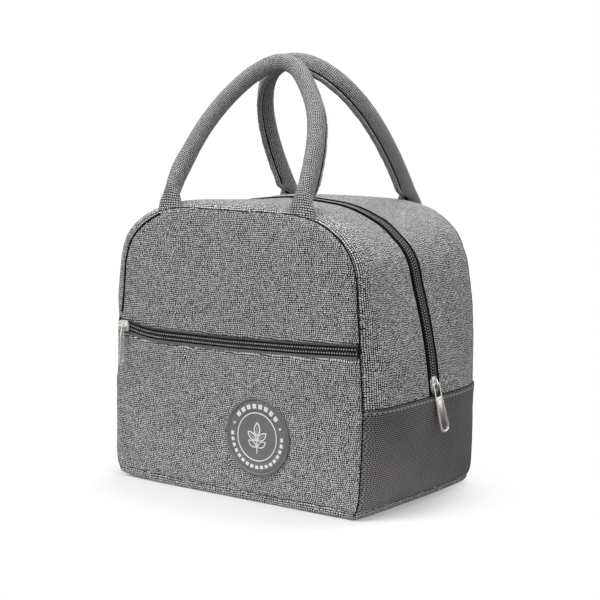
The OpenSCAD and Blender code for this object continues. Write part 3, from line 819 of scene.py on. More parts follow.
# ------------------------------------------------------------------ top and end strip
def strip(label, side, slot_y, body):
    """half of the strip, from a panel's seam to its edge of the zip slot"""
    seam_y = side * HALF_DEPTH
    width = abs(slot_y - seam_y)
    in_from_seam = np.concatenate([
        WIDE_STEPS, np.linspace(15, width - 3.0, 18)[1:-1],
        width - np.array([3.0, 1.4, 0.6, 0.15, 0])])
    start = wall_s(66)
    end = ARCH_LENGTH - start
    s, y = np.meshgrid(np.linspace(start, end, int((end - start) / 3.0) + 1),
                       seam_y - side * in_from_seam, indexing="ij")
    # the folded edge along the zip dips inwards, the cloth beside it leans down to it
    from_slot = width - in_from_seam
    dip = np.interp(from_slot, [0, 0.15, 0.6, 1.4, 3.0], [1.9, 0.9, 0.3, 0.05, 0])
    lean = 0.5 * fade(from_slot, 6.0)
    points = on_arch(s, y, strip_swell(y, s) - dip - lean)
    uvs = np.stack([s, seam_y + path_length(points, axis=1)], -1)
    piece = sheet("gusset_%s_fabric" % label, points, uvs, M_SIDE, 1.0, flip=side < 0)
    attach(piece, body, "body_fabric", label + "_gusset", label + "_gusset_lower")


strip("front", -1, -4.7, FRONT_FOLD)
strip("back", 1, 6.9, BACK_FOLD)


def end_patch(label, side):
    """dark patch on the lower part of one end, with a dark cord of painted shade under its top
    edge, and top stitching
    """
    top = PATCH_Z + 0.6
    z = np.concatenate([FLOOR_ROWS[:-1], np.linspace(FLOOR_ROWS[-2], top - 2.0, 26)[1:],
                        [top - 1.0, top - 0.3, top]])
    seam_steps = HALF_DEPTH - WIDE_STEPS
    middle = np.linspace(-seam_steps[-1], seam_steps[-1], 46)[1:-1]
    s, y = np.meshgrid(wall_s(z), np.concatenate([-seam_steps, middle, seam_steps[::-1]]),
                       indexing="ij")
    edge = HALF_DEPTH - np.abs(y)
    out = strip_swell(y, s if side > 0 else ARCH_LENGTH - s) + 0.30 * rise(edge, 3.0) + 0.12
    # near the floor the patch is held to the floor's outline
    above_floor = (z - FLOOR_SEAM_Z)[:, None]
    held = fade(above_floor, 6.0) * rise(edge, 2.0)
    out = out * (1 - held) + 1.3 * rise(edge, 9.0) * held - 0.8 * fade(above_floor, 0.7)
    out[-3:] -= np.array([0.1, 0.35, 0.9])[:, None]     # top edge turned in
    points = on_arch(s, y, out) * [side, 1, 1]
    uvs = np.stack([y, s], -1)
    name = "end_patch_" + label
    piece = sheet(name + "_fabric", points, uvs, M_DARK, 1.0, flip=side < 0)
    attach(piece, "base", "dark_fabric", name, "end_foam_" + label)

    # dark cord along the turned-in top edge: painted shade where the strip above overlaps the
    # patch
    patch_edge_shade = points[-1] + np.array([1.0 * side, 0, 0.45])
    attach(cord(name + "_edge", patch_edge_shade[2:-2], 0.5, sides=6), "base", "dark_fabric")

    row = int(np.argmin(abs(z - (top - 2.6))))
    line = points[row]
    normals = unit(np.cross(np.gradient(line, axis=0), points[row + 1] - points[row - 1]) * side)
    piece = stitches(name + "_stitches", line[3:-3], normals[3:-3], pitch=4.2, length=2.4,
                     radius=0.26, material=M_LIGHT_STITCH, lift=1.04)
    attach(piece, "base", "dark_fabric")


end_patch("right", 1)
end_patch("left", -1)


# ------------------------------------------------------------------ floor
def floor_loop(out, z):
    """closed outline of the floor at height z, moved out by `out`"""
    half_width = float(wall_x(BASE_Z))
    t = np.linspace(-1, 1, 40)
    y = np.sign(t) * (1 - (1 - np.abs(t)) ** 1.4) * HALF_DEPTH
    end_bow = 1.3 * rise(HALF_DEPTH - np.abs(y), 9.0) + 0.3
    right = np.stack([half_width + 0.6 + end_bow + out,
                      y * (HALF_DEPTH + 0.2 + out) / HALF_DEPTH], -1)
    t = np.linspace(1, -1, 50)[1:-1]
    back = np.stack([t * (half_width + out * 0.5),
                     HALF_DEPTH + 0.3 + out + 0.5 * (1 - t ** 8)], -1)
    loop = np.vstack([right, back, right[::-1] * [-1, 1], -back])
    return np.hstack([loop, np.full((len(loop), 1), z)])


# outward offset and height, from the turned-up edge to the underside
FLOOR_PROFILE = np.array([
    (-2.2, 6.6), (-1.0, 6.5), (-0.3, 6.0), (0.05, 5.2), (0.1, 4.0), (-0.15, 2.8), (-0.7, 1.7),
    (-1.6, 0.8), (-3.0, 0.25), (-5.5, 0.0), (-12, 0.0), (-30, 0.0), (-60, 0.0)])
STITCHED_LOOP, FIRST_FLAT_LOOP = 3, 9            # rows of the profile


def floor_panel():
    loops = np.array([floor_loop(out, z) for out, z in FLOOR_PROFILE])
    uvs = pair_grid(path_length(FLOOR_PROFILE), path_length(loops[STITCHED_LOOP])).copy()
    uvs[FIRST_FLAT_LOOP:] = loops[FIRST_FLAT_LOOP:, :, :2]
    rows, columns = loops.shape[:2]
    vertices = np.vstack([loops.reshape(-1, 3), [[0, 0, 0.05]]])
    centre, last = len(vertices) - 1, (rows - 1) * columns
    faces = grid_faces(rows, columns, close_columns=True, flip=True)
    faces += [(last + (j + 1) % columns, last + j, centre) for j in range(columns)]
    uvs = np.vstack([uvs.reshape(-1, 2), [[0, 0]]])
    piece = mesh_object("floor_panel_fabric", vertices, faces, uvs, M_BODY)
    add_thickness(piece, 0.8)
    attach(piece, "base", "body_fabric", "bottom_panel", "bottom_foam")

    line = np.vstack([loops[STITCHED_LOOP], loops[STITCHED_LOOP][:1]])
    tangent = np.gradient(line, axis=0)
    normals = np.stack([tangent[:, 1], -tangent[:, 0], 0 * tangent[:, 0]], -1)
    normals /= np.linalg.norm(normals, axis=1, keepdims=True) + 1e-9
    piece = stitches("floor_edge_stitches", line, normals, pitch=3.2, length=2.1, radius=0.26,
                     material=M_GREY_STITCH, lift=0.86)
    attach(piece, "base", "body_fabric")


floor_panel()


# ------------------------------------------------------------------ dark seam lines, painted shade in the seam creases
def seam_shade_lines():
    # each cord is painted shade, a dark line where the seam's crease falls into shadow
    s = np.linspace(0, ARCH_LENGTH, 260)
    for label, side, body in (("front", -1, FRONT_FOLD), ("back", 1, BACK_FOLD)):
        path = on_arch(s, side * (HALF_DEPTH + 0.50), 0.35)
        attach(cord("seam_shade_line_" + label, path, 0.64), body, "zip_tape")

    # on the left the rolled edge shows past the seam of the upper front panel, and the painted
    # shade runs along its crease
    below_corner = (ARCH[:, 1] < 150) * 999
    start = ARCH_S[int(np.argmin(np.abs(ARCH[:, 0] + 66.0) + below_corner))]
    s = np.linspace(start, ARCH_LENGTH - wall_s(123.0), 90)
    path = on_arch(s, 0.0, -np.interp(s - start, [0, 22, 60], [1.7, 3.2, 3.9]))
    path[:, 1] = -(HALF_DEPTH + 2.05 + panel_bulge(path[:, 0], path[:, 2]))
    attach(cord("seam_shade_line_front_left", path, 0.75), "front_half", "zip_tape")

    # painted shade along the crease of the floor seam
    loop = floor_loop(-0.35, 6.75)
    attach(cord("seam_shade_line_floor", np.vstack([loop, loop[:1]]), 0.5), "base", "zip_tape")


seam_shade_lines()

# ------------------------------------------------------------------ main zip
MAIN_START = wall_s(PATCH_Z + 0.4)
MAIN_END = ARCH_LENGTH - MAIN_START
MAIN_Y = -0.25                                   # the coil lies a little to the front
TOOTH_WIDTHS = (0.66, 0.70)                      # half width and half height of a tooth
SEWING_SIZE = (0.62, 0.36, 0.25)


def main_band(name, y_from, y_to, out_from, out_to, material, thickness, body, *replaced):
    """band beside the coil, along the whole zip"""
    t = np.linspace(0, 1, 7)
    s, y = np.meshgrid(np.linspace(MAIN_START, MAIN_END, 150), y_from + (y_to - y_from) * t,
                       indexing="ij")
    points = on_arch(s, y, out_from + (out_to - out_from) * t + crown_at(s))
    piece = sheet(name, points, np.stack([s, y], -1), material, thickness, flip=y_to > y_from)
    attach(piece, body, "zip_tape", *replaced)


def main_coil(label, side, body, shift, edge_y, edge_out):
    """one side's teeth, the sewing over them, whose pale thread carries painted glints, and a
    dark cord of painted shade in the groove beside them
    """
    s = np.arange(MAIN_START + 1.5 + shift * TOOTH_PITCH, MAIN_END - 1.5, TOOTH_PITCH)
    axis = on_arch(s, MAIN_Y, 5.55 + crown_at(s))
    out = np.insert(arch_at(s)[1], 1, 0, axis=1)
    along = np.stack([-out[:, 2], 0 * s, out[:, 0]], -1)
    sideways = np.array([0, 1.0 * side, 0])
    teeth = capsules("main_zip_coil_" + label, axis + sideways * 1.30 + out * 0.25,
                     sideways + along * 0.22 - out * 0.12, out, (1.50, *TOOTH_WIDTHS), M_COIL)
    attach(teeth, body, "zip_coil", "main_zip_coil_" + label)
    # the pale sewing carries the coil's painted glints
    centres = axis + sideways * 1.35 + out * 0.98 + along * 0.35
    sewing = capsules("main_zip_sewing_glint_" + label, centres, along + sideways * 0.9, out,
                      SEWING_SIZE, M_THREAD_GLINT)
    attach(sewing, body, "zip_coil")
    # dark cord: painted shade in the groove between the folded cloth edge and the coil
    s = np.linspace(MAIN_START + 1, MAIN_END - 1, 200)
    path = on_arch(s, edge_y, edge_out + crown_at(s))
    attach(cord("main_zip_edge_shade_" + label, path, 0.85, sides=6), body, "zip_tape")


def main_zip_foot(label, side):
    """row of bars that closes the zip at one end"""
    point, normal = arch_at(np.array([wall_s(PATCH_Z + 2.0)]))
    centres = [[side * (point[0, 0] + normal[0, 0] * 6.2), MAIN_Y + (k - 4) * 0.72, point[0, 1]]
               for k in range(9)]
    piece = capsules("main_zip_foot_" + label, centres, [0, 0.3, 1.0], [side, 0, 0.08],
                     (1.3, 0.42, 0.45), M_COIL)
    attach(piece, "base", "zip_coil", "main_zip_end_" + label)


main_band("main_zip_tape_front", -14.0, -0.05, 3.9, 4.9, M_TAPE, 0.6, FRONT_FOLD,
          "main_zip_tape_front")
main_band("main_zip_tape_back", 14.0, 0.05, 3.9, 4.9, M_TAPE, 0.6, BACK_FOLD,
          "main_zip_tape_back")
main_band("main_zip_guard_back", 5.7, 3.2, 6.1, 6.2, M_STRIP, 0.5, BACK_FOLD)
main_coil("front", -1, FRONT_FOLD, shift=0.0, edge_y=-4.1, edge_out=6.0)
main_coil("back", 1, BACK_FOLD, shift=0.5, edge_y=6.35, edge_out=6.2)
main_zip_foot("right", 1)
main_zip_foot("left", -1)


# ------------------------------------------------------------------ pocket zip
def pocket_band(name, z_from, z_to, in_from, in_to, material, thickness, *replaced):
    """band along the pocket zip; heights from the line, depths inwards from the surface"""
    x, t = np.meshgrid(np.linspace(-104.6, 104.6, 150), np.linspace(0, 1, 5), indexing="ij")
    limit = outline_x(zip_z(x)) - 0.4
    x = np.clip(x, -limit, limit)
    z = zip_z(x) + z_from + (z_to - z_from) * t
    y = zip_y(x) + in_from + (in_to - in_from) * t
    piece = sheet(name, np.stack([x, y, z], -1), np.stack([x, z], -1), material, thickness,
                  flip=z_to < z_from)
    attach(piece, "front_half", "zip_tape", *replaced)


def pocket_coil(label, side, shift):
    """teeth, sewing whose pale thread carries painted glints, and a dark cord of painted shade
    in the groove, above (side 1) or below (side -1) the line
    """
    x = np.arange(-101.5, 103.0, TOOTH_PITCH) + shift * TOOTH_PITCH
    y, z = zip_y(x, 0.75), zip_z(x)
    slope_y = np.gradient(y, x)
    along = unit(np.stack([np.ones(len(x)), slope_y, np.gradient(z, x)], -1))
    out = np.stack([slope_y, -np.ones(len(x)), 0 * x], -1)
    axis = np.stack([x, y, z], -1)
    teeth = capsules("pocket_zip_coil_" + label, axis + np.array([0, 0, side * 1.25]),
                     np.array([0, 0.10, side]) + along * 0.22, out, (1.42, *TOOTH_WIDTHS),
                     M_COIL)
    attach(teeth, "front_half", "zip_coil", "pocket_zip_coil_" + label)
    # the pale sewing carries the coil's painted glints
    centres = axis + np.array([0, -0.80, side * 1.40]) + along * 0.35
    sewing = capsules("pocket_zip_sewing_glint_" + label, centres,
                      along + np.array([0, 0, side * 0.9]), out, SEWING_SIZE, M_THREAD_GLINT)
    attach(sewing, "front_half", "zip_coil")
    # dark cord: painted shade in the groove between the coil and the strip
    x = np.linspace(-103.5, 103.5, 140)
    path = np.stack([x, zip_y(x, 0.95), zip_z(x) + side * 2.85], -1)
    attach(cord("pocket_zip_edge_shade_" + label, path, 0.38, sides=6), "front_half", "zip_tape")


def pocket_stops():
    centres = [[x, float(zip_y(x)) + 0.3, float(zip_z(x)) + (k - 2) * 1.15]
               for x in (-103.6, 103.9) for k in range(5)]
    piece = capsules("pocket_zip_stops", centres, [1.0, 0, 0.1], [0, -1.0, 0], (0.9, 0.5, 0.5),
                     M_COIL)
    attach(piece, "front_half", "zip_coil", "pocket_zip_stops")


def pocket_lining():
    """dark cloth behind the pocket mouth"""
    t, rise_ = np.meshgrid(np.linspace(-1, 1, 40), np.linspace(-16, 14, 8), indexing="ij")
    x = t * 102.5
    z = zip_z(x) + rise_
    points = np.stack([x, np.maximum(zip_y(x) + 3.4, -HALF_DEPTH - 0.4), z], -1)
    piece = sheet("pocket_lining", points, np.stack([x, z], -1), M_TAPE, 0.3)
    attach(piece, "front_half", "zip_tape", "pocket_backing")


pocket_band("pocket_zip_tape_upper", 8.0, 0.1, 1.7, 1.5, M_TAPE, 0.6, "pocket_zip_tape_upper")
pocket_band("pocket_zip_tape_lower", -8.0, -0.1, 1.7, 1.5, M_TAPE, 0.6, "pocket_zip_tape_lower")
pocket_band("pocket_zip_strip", -6.6, -3.2, -0.55, 0.15, M_POCKET_STRIP, 0.8)
pocket_band("pocket_zip_strip_upper", 3.3, 5.6, 0.45, 0.3, M_POCKET_STRIP, 0.6)
pocket_coil("upper", 1, shift=0.0)
pocket_coil("lower", -1, shift=0.5)
pocket_stops()
pocket_lining()

# ------------------------------------------------------------------ liner
LINER_OUT = -6.2                                 # offset from the outline
LINER_FOOT_Z = 9
LINER_THICKNESS = 0.5


def liner_half(label, side, body, *replaced):
    """end and top walls, then the flat wall as arches shrinking to a point"""
    foot = wall_s(LINER_FOOT_Z)
    s = np.linspace(foot, ARCH_LENGTH - foot, 150)
    rows = [on_arch(s, side * y, LINER_OUT - max(0, y - 58) ** 2 * 0.045)
            for y in np.concatenate([np.linspace(5.0, 58, 12), [63, 66.5, 68.6]])]
    last = rows[-1]
    centre = np.array([0, side * 69.3, 95.0])
    for scale in (0.93, 0.8, 0.6, 0.35, 0.12, 0.0):
        row = last * scale + centre * (1 - scale)
        row[:, 1] = side * (69.2 + 0.8 * (1 - scale))
        rows.append(row)
    points = np.array(rows)
    uvs = pair_grid(path_length(points[:, 75]), s)
    piece = sheet("liner_" + label, points, uvs, M_LINER, LINER_THICKNESS, flip=side < 0)
    attach(piece, body, "liner", *replaced)


def liner_floor():
    half_x, half_y = 99.5, 68.5
    x, y = np.meshgrid(np.linspace(-half_x, half_x, 60), np.linspace(-half_y, half_y, 40),
                       indexing="ij")
    z = 8.6 + 0.25 * PANEL_RELIEF(x, y)
    z = z + 1.2 * fade(half_x - np.abs(x), 2.0) + 1.2 * fade(half_y - np.abs(y), 2.0)
    piece = sheet("liner_floor", np.stack([x, y, z], -1), np.stack([x, y], -1), M_LINER,
                  LINER_THICKNESS)
    attach(piece, "base", "liner")


def liner_end(label, side):
    """middle strip of an end wall"""
    s, y = np.meshgrid(np.linspace(wall_s(LINER_FOOT_Z), wall_s(84), 26),
                       np.linspace(-5.2, 5.2, 5), indexing="ij")
    piece = sheet("liner_end_" + label, on_arch(s, y, LINER_OUT) * [side, 1, 1],
                  np.stack([s, y], -1), M_LINER, LINER_THICKNESS, flip=side > 0)
    attach(piece, "base", "liner")


liner_half("front", -1, FRONT_FOLD, "front_liner", "lower_liner")
liner_half("back", 1, BACK_FOLD, "back_liner")
liner_floor()
liner_end("right", 1)
liner_end("left", -1)

# ------------------------------------------------------------------ handles
TUBE_POINTS = 33                                 # section points before the seam tail's


def bell(value, middle, width):
    return np.exp(-((value - middle) / width) ** 2)


def handle_line(front, centre_x, half_span, height, power_x, power_z):
    """stations along a handle and its line (x, rise) in the handle's own plane"""
    turn = np.linspace(0, math.pi, 400)
    cosine, degrees = np.cos(turn), np.degrees(turn)
    x = centre_x + half_span * np.sign(cosine) * np.abs(cosine) ** (2 / power_x)
    up = height * np.abs(np.sin(turn)) ** (2 / power_z)
    if front:
        dent = bell(degrees, 60, 20)
        x = x - 1.8 * dent - 1.9 * bell(degrees, 150, 20)
        up = up - 3.0 * dent
    else:
        x = x + 1.2 * bell(degrees, 38, 24)
    line = np.stack([x, up], -1)
    lengths = path_length(line)
    line = interp_columns(even_stations(lengths[-1], 2.0), lengths, line)
    lengths = path_length(line)
    total = lengths[-1]
    # finer near the sewn ends
    stations = np.concatenate([np.linspace(0, 18, 16),
                               np.linspace(18, total - 18, 150)[1:-1],
                               np.linspace(total - 18, total, 16)])
    return stations, interp_columns(stations, lengths, line)


def handle_sections(side, stations, up, tube, tail_edge):
    """round tube with a seam tail, opening into a shallow fold at the sewn ends"""
    radius, other_radius = tube
    turn = np.radians(np.linspace(20, 340, TUBE_POINTS))
    circle = np.stack([radius * np.cos(turn), other_radius * np.sin(turn)], -1)
    half_tail = [(radius + 0.5, -1.1), (radius + 1.5, -0.95), (tail_edge - 2.2, -1.75),
                 (tail_edge - 0.5, -1.5), (tail_edge, -0.7)]
    tail = half_tail + [(tail_edge - 0.3, 0.0)] + [(a, -b) for a, b in reversed(half_tail)]
    section = np.vstack([circle, tail])

    fold = 11.2                                  # half width of the open fold
    knots = [0, 0.22, 0.27, 0.33, 0.5, 0.67, 0.73, 0.78, 1]
    t = np.linspace(0, 1, TUBE_POINTS)
    fold_in = np.interp(t, knots, [0.5, 1.5, 1.2, -0.2, -1.3, -0.2, 1.2, 1.5, 0.5])
    fold_across = np.interp(t, knots, [1.4, fold - 0.4, fold, fold - 0.4, 0,
                                       -fold + 0.4, -fold, -fold + 0.4, -1.4])
    t = np.linspace(-1, 1, len(tail))
    flat = np.vstack([np.stack([fold_in, fold_across], -1),
                      np.stack([0.5 - 0.1 * np.abs(t), 1.2 * t], -1)])

    # the tail shrinks towards the ends and wanders slightly
    reach = np.interp(up, [0, 3, 10, 20], [-0.35, -0.45, -0.2, 1.0])[:, None]
    sections = np.repeat(section[None], len(stations), axis=0)
    sections[:, TUBE_POINTS:, 0] = (radius + (section[TUBE_POINTS:, 0] - radius) * reach
                                    - 2.2 * np.maximum(0.0, -reach) / 0.45)
    sections[:, :, 0] *= (1 + 0.012 * np.sin(stations * 0.5))[:, None]
    wander = 0.12 * np.sin(stations * 0.31 + side) + 0.10 * np.sin(stations * 0.83)
    sections[:, TUBE_POINTS:, 1] += wander[:, None]
    flatness = smoothstep((14.5 - up) / 13.0)[:, None, None]
    return sections * (1 - flatness) + flat * flatness, path_length(section)


def handle(label, side, centre_x, half_span, height, lean, power_x, power_z, tube, tail_edge):
    """lean is in degrees towards the other handle; powers shape the superelliptic loop"""
    front = label == "front"
    stations, line = handle_line(front, centre_x, half_span, height, power_x, power_z)
    total, up = stations[-1], line[:, 1]
    lean = math.radians(lean)
    x_axis = np.array([1.0, 0, 0])
    up_axis = np.array([0, -side * math.sin(lean), math.cos(lean)])
    inward_axis = np.array([0, -side * math.cos(lean), -math.sin(lean)])
    origin = np.array([0, side * (HALF_DEPTH + 2.0), HEIGHT + 1.5])
    path = origin + line[:, 0:1] * x_axis + line[:, 1:2] * up_axis
    # only the lowest part is drawn to the seam
    drawn = np.clip(1 - up / 15, 0, 1)[:, None] ** 2
    foot = np.stack([line[:, 0], np.full(len(up), side * (HALF_DEPTH - 0.3)),
                     np.full(len(up), HEIGHT - 2.2)], -1)
    path = path * (1 - drawn) + (foot + up[:, None] * (up_axis * 0.75)) * drawn

    tangent = unit(np.gradient(line, axis=0))
    inward = np.broadcast_to(inward_axis, path.shape)
    across = tangent[:, 1:2] * x_axis - tangent[:, 0:1] * up_axis
    if front:
        # turned on itself, more along the left leg than the right
        twist = (np.radians(38) * np.clip((10 - line[:, 0]) / 50, 0, 1)
                 + np.radians(16) * np.clip((line[:, 0] - 12) / 28, 0, 1))
        twist = (twist * np.clip((up - 12) / 14, 0, 1))[:, None]
        inward, across = (inward * np.cos(twist) + across * np.sin(twist),
                          across * np.cos(twist) - inward * np.sin(twist))

    sections, girth = handle_sections(side, stations, up, tube, tail_edge)
    pieces = [sweep(label + "_handle_fabric", path, inward, across, sections,
                    pair_grid(stations, girth), M_HANDLE, flip=side > 0)]
    # sewing, and a dark cord of painted shade in the groove, on both faces of the tail
    sewn = up > 19
    for letter, face in (("a", -1), ("b", 1)):
        normals = across[sewn] * face
        row = path[sewn] + inward[sewn] * (tail_edge - 1.6) + normals * 1.78
        pieces.append(stitches("%s_handle_stitches_%s" % (label, letter), row, normals,
                               pitch=3.4, length=3.1, radius=0.42, material=M_LIGHT_STITCH,
                               lift=0.06))
        groove = path[sewn] + inward[sewn] * (tube[0] + 0.75) + normals * 1.35
        pieces.append(cord("%s_handle_groove_%s" % (label, letter), groove, 0.62, sides=6))
    # a few tacking stitches across each sewn end
    centres, along, out = [], [], []
    for station in (4.2, total - 4.2):
        i = np.argmin(abs(stations - station))
        for offset in np.linspace(-7.5, 7.5, 7):
            depth = 1.25 - 0.9 * abs(offset) / 9
            centres.append(path[i] + across[i] * offset - inward[i] * depth)
            along.append(across[i])
            out.append(-inward[i])
    pieces.append(capsules(label + "_handle_tacks", centres, along, out, (0.9, 0.24, 0.2),
                           M_GREY_STITCH))
    # painted shade: a dark cord in the hollow where the tube opens
    for k, (start, end) in enumerate(((2.0, 13.0), (total - 13.0, total - 2.0))):
        part = (stations > start) & (stations < end)
        depth = 1.2 + 3.0 * np.clip((up[part] - 3) / 9, 0, 1)
        hollow = path[part] + inward[part] * depth[:, None]
        pieces.append(cord("%s_handle_hollow_%d" % (label, k), hollow, 1.15))

    body = (label + "_half", label + "_handle", tuple((origin - up_axis * 1.0) * MM),
            tuple((origin + up_axis * 17.0) * MM))
    covered = [label + "_handle_" + part for part in ("cover", "core", "tabs")]
    for piece in pieces:
        attach(piece, body, "handle_fabric", *(covered if piece is pieces[0] else ()))


handle("front", -1, centre_x=-1.0, half_span=57.2, height=117.0, lean=30.0, power_x=1.98,
       power_z=2.07, tube=(6.5, 6.1), tail_edge=9.9)
handle("back", 1, centre_x=-5.5, half_span=54.8, height=127.0, lean=36.2, power_x=2.11,
       power_z=2.51, tube=(6.35, 6.0), tail_edge=10.6)

# ------------------------------------------------------------------ badge
BADGE_CENTRE = np.array([27.0, -HALF_DEPTH - 5.25, 47.5])
BADGE_R = 27.0
PRINT_BASE = 1.4                                 # raised shapes start inside the face


def on_badge(x, z, height):
    """points from offsets about the badge's centre and heights towards the front"""
    offset = np.stack(np.broadcast_arrays(x, -np.asarray(height, float), z), -1)
    return BADGE_CENTRE + offset


def revolve(name, profile, material, count=128):
    """profile (radius, height) turned about the badge's axis"""
    turn = 2 * math.pi * np.arange(count)[:, None] / count
    radius, height = np.array(profile, float).T
    vertices = on_badge(radius * np.cos(turn), radius * np.sin(turn), height).reshape(-1, 3)
    faces = grid_faces(count, len(profile), close_rows=True)
    return mesh_object(name, vertices, faces, vertices[:, [0, 2]], material)


def raise_shapes(name, shapes, top, *replaced):
    """closed (x, z) outlines raised to `top`, with a slight chamfer"""
    vertices, faces, first = [], [], 0
    for shape in shapes:
        x, z = shape.T
        if np.sum(x * np.roll(z, -1) - np.roll(x, -1) * z) < 0:
            shape = shape[::-1]
        count, centre = len(shape), shape.mean(0)
        small = centre + (shape - centre) * 0.97
        for ring, height in ((shape, PRINT_BASE), (shape, top - 0.08), (small, top)):
            vertices.append(on_badge(ring[:, 0], ring[:, 1], height))
        for low in (first, first + count):
            for j in range(count):
                following = (j + 1) % count
                faces.append((low + j, low + following, low + count + following,
                              low + count + j))
        faces.append(tuple(first + 2 * count + j for j in range(count)))
        faces.append(tuple(first + j for j in reversed(range(count))))
        first += 3 * count
    vertices = np.vstack(vertices)
    piece = mesh_object(name, vertices, faces, vertices[:, [0, 2]], M_PRINT, smooth=False)
    attach(piece, "base", "badge_print", *replaced)


def polar(radius, degrees):
    turn = np.radians(degrees)
    return np.stack([radius * np.cos(turn), radius * np.sin(turn)], -1)


def arc_block(inner, outer, middle, half_angle, count):
    angles = np.linspace(middle - half_angle, middle + half_angle, count)
    return np.vstack([polar(outer, angles), polar(inner, angles)[::-1]])


def leaf_outline(length, width):
    t = np.linspace(0, 1, 14)
    half = np.maximum(np.sin(math.pi * t), 0) ** 0.8 * width / 2
    right = np.stack([half, length * t], -1)
    return np.vstack([right, (right * [-1, 1])[::-1][1:-1]])


def place(points, degrees, base):
    cosine, sine = math.cos(math.radians(degrees)), math.sin(math.radians(degrees))
    return np.asarray(points) @ np.array([[cosine, sine], [-sine, cosine]]) + base


# angle from upright, base, length, width; only the first three leaves carry a mid rib
LEAVES = [(0, (0, -0.2), 10.5, 5.6),
          (52, (-0.2, -2.8), 10.0, 5.0), (-52, (0.2, -2.8), 10.0, 5.0),
          (60, (-0.2, -7.2), 8.6, 4.4), (-60, (0.2, -7.2), 8.6, 4.4)]


def badge():
    # radius, height; a raised rim, a groove, the border band, a groove and the face
    profile = [
        (0.01, -0.3), (BADGE_R - 0.4, -0.3), (BADGE_R, 0.1), (BADGE_R, 1.5),
        (BADGE_R - 0.25, 1.95), (BADGE_R - 0.8, 2.15), (BADGE_R - 1.35, 2.0),
        (BADGE_R - 1.7, 1.5), (BADGE_R - 2.0, 1.25), (BADGE_R - 2.6, 1.25),
        (BADGE_R - 2.9, 1.5), (BADGE_R - 3.2, 1.6), (18.2, 1.6), (17.9, 1.5), (17.7, 1.25),
        (17.3, 1.25), (17.1, 1.5), (16.9, 1.6), (15.0, 1.55), (0.01, 1.5)]
    attach(revolve("badge_body", profile, M_BADGE), "base", "badge_base", "badge")
    profile = [(16.2, PRINT_BASE), (16.2, 1.85), (16.3, 1.95), (16.85, 1.95), (16.95, 1.85),
               (16.95, PRINT_BASE), (16.2, PRINT_BASE)]
    attach(revolve("badge_ring", profile, M_PRINT), "base", "badge_print", "badge_ring")

    # border: long blocks above, short blocks below, a dot at each side
    blocks = [arc_block(19.6, 22.8, 90 + (k - 3.5) * 13.6, 4.3, 6) for k in range(8)]
    blocks += [arc_block(19.9, 22.2, 270 + (k - 8) * 11.4, 3.5, 5) for k in range(17)]
    blocks += [polar(21, angle) + polar(0.9, np.arange(0, 360, 30)) for angle in (22, 158)]
    raise_shapes("badge_border_blocks", blocks, 1.95)

    # sprig: a stem, the two rims of each leaf, and mid ribs
    shapes = [np.array([(-0.35, -11.5), (0.35, -11.5), (0.4, -0.4), (-0.4, -0.4)])]
    for degrees, base, length, width in LEAVES:
        outer = place(leaf_outline(length, width), degrees, base)
        inner = leaf_outline(length * 0.80, width * 0.66) + [0, length * 0.10]
        inner = place(inner, degrees, base)
        half = len(outer) // 2
        shapes.append(np.vstack([outer[:half + 1], inner[:half + 1][::-1]]))
        shapes.append(np.vstack([outer[half:], outer[:1], inner[:1], inner[half:][::-1]]))
    for degrees, base, length, _ in LEAVES[:3]:
        rib = [(-0.22, 0.6), (0.22, 0.6), (0.1, length * 0.75), (-0.1, length * 0.75)]
        shapes.append(place(rib, degrees, base))
    raise_shapes("badge_emblem", shapes, 1.9, "badge_emblem")

    circle = polar(24.7, np.linspace(0, 360, 200))
    line = on_badge(circle[:, 0], circle[:, 1], 1.3)
    piece = stitches("badge_stitches", line, np.tile([0, -1.0, 0], (200, 1)), pitch=2.9,
                     length=1.9, radius=0.22, material=M_GREY_STITCH)
    attach(piece, "base", "badge_base")


badge()


# ------------------------------------------------------------------ metal parts
def plate(outline, x_from, x_to, holes=()):
    """prism of a (y, z) outline with real windows"""
    solid = bmesh.new()
    edges = []
    for ring in [outline] + list(holes):
        corners = [solid.verts.new((x_from, y, z)) for y, z in ring]
        edges += [solid.edges.new((corners[i], corners[(i + 1) % len(corners)]))
                  for i in range(len(corners))]
    bmesh.ops.triangle_fill(solid, edges=edges, use_beauty=True, use_dissolve=False)
    bmesh.ops.dissolve_limit(solid, angle_limit=0.01, verts=solid.verts[:],
                             edges=solid.edges[:])
    made = bmesh.ops.extrude_face_region(solid, geom=solid.faces[:])["geom"]
    bmesh.ops.translate(solid, vec=(x_to - x_from, 0, 0),
                        verts=[item for item in made if isinstance(item, bmesh.types.BMVert)])
    bmesh.ops.recalc_face_normals(solid, faces=solid.faces[:])
    return solid


def tube(path, radius, sides=12):
    """capped round wire along a path in the x-z plane"""
    solid = bmesh.new()
    tangents = unit(np.gradient(path, axis=0))
    rings = []
    for point, tangent in zip(path, tangents):
        first = unit(np.cross(tangent, [0, 1.0, 0]))
        second = np.cross(tangent, first)
        rings.append([
            solid.verts.new(tuple(point + radius * (math.cos(a) * first + math.sin(a) * second)))
            for a in 2 * math.pi * np.arange(sides) / sides])
    for low, high in zip(rings, rings[1:]):
        for j in range(sides):
            following = (j + 1) % sides
            solid.faces.new((low[j], low[following], high[following], high[j]))
    solid.faces.new(rings[0])
    solid.faces.new(rings[-1])
    bmesh.ops.recalc_face_normals(solid, faces=solid.faces[:])
    return solid


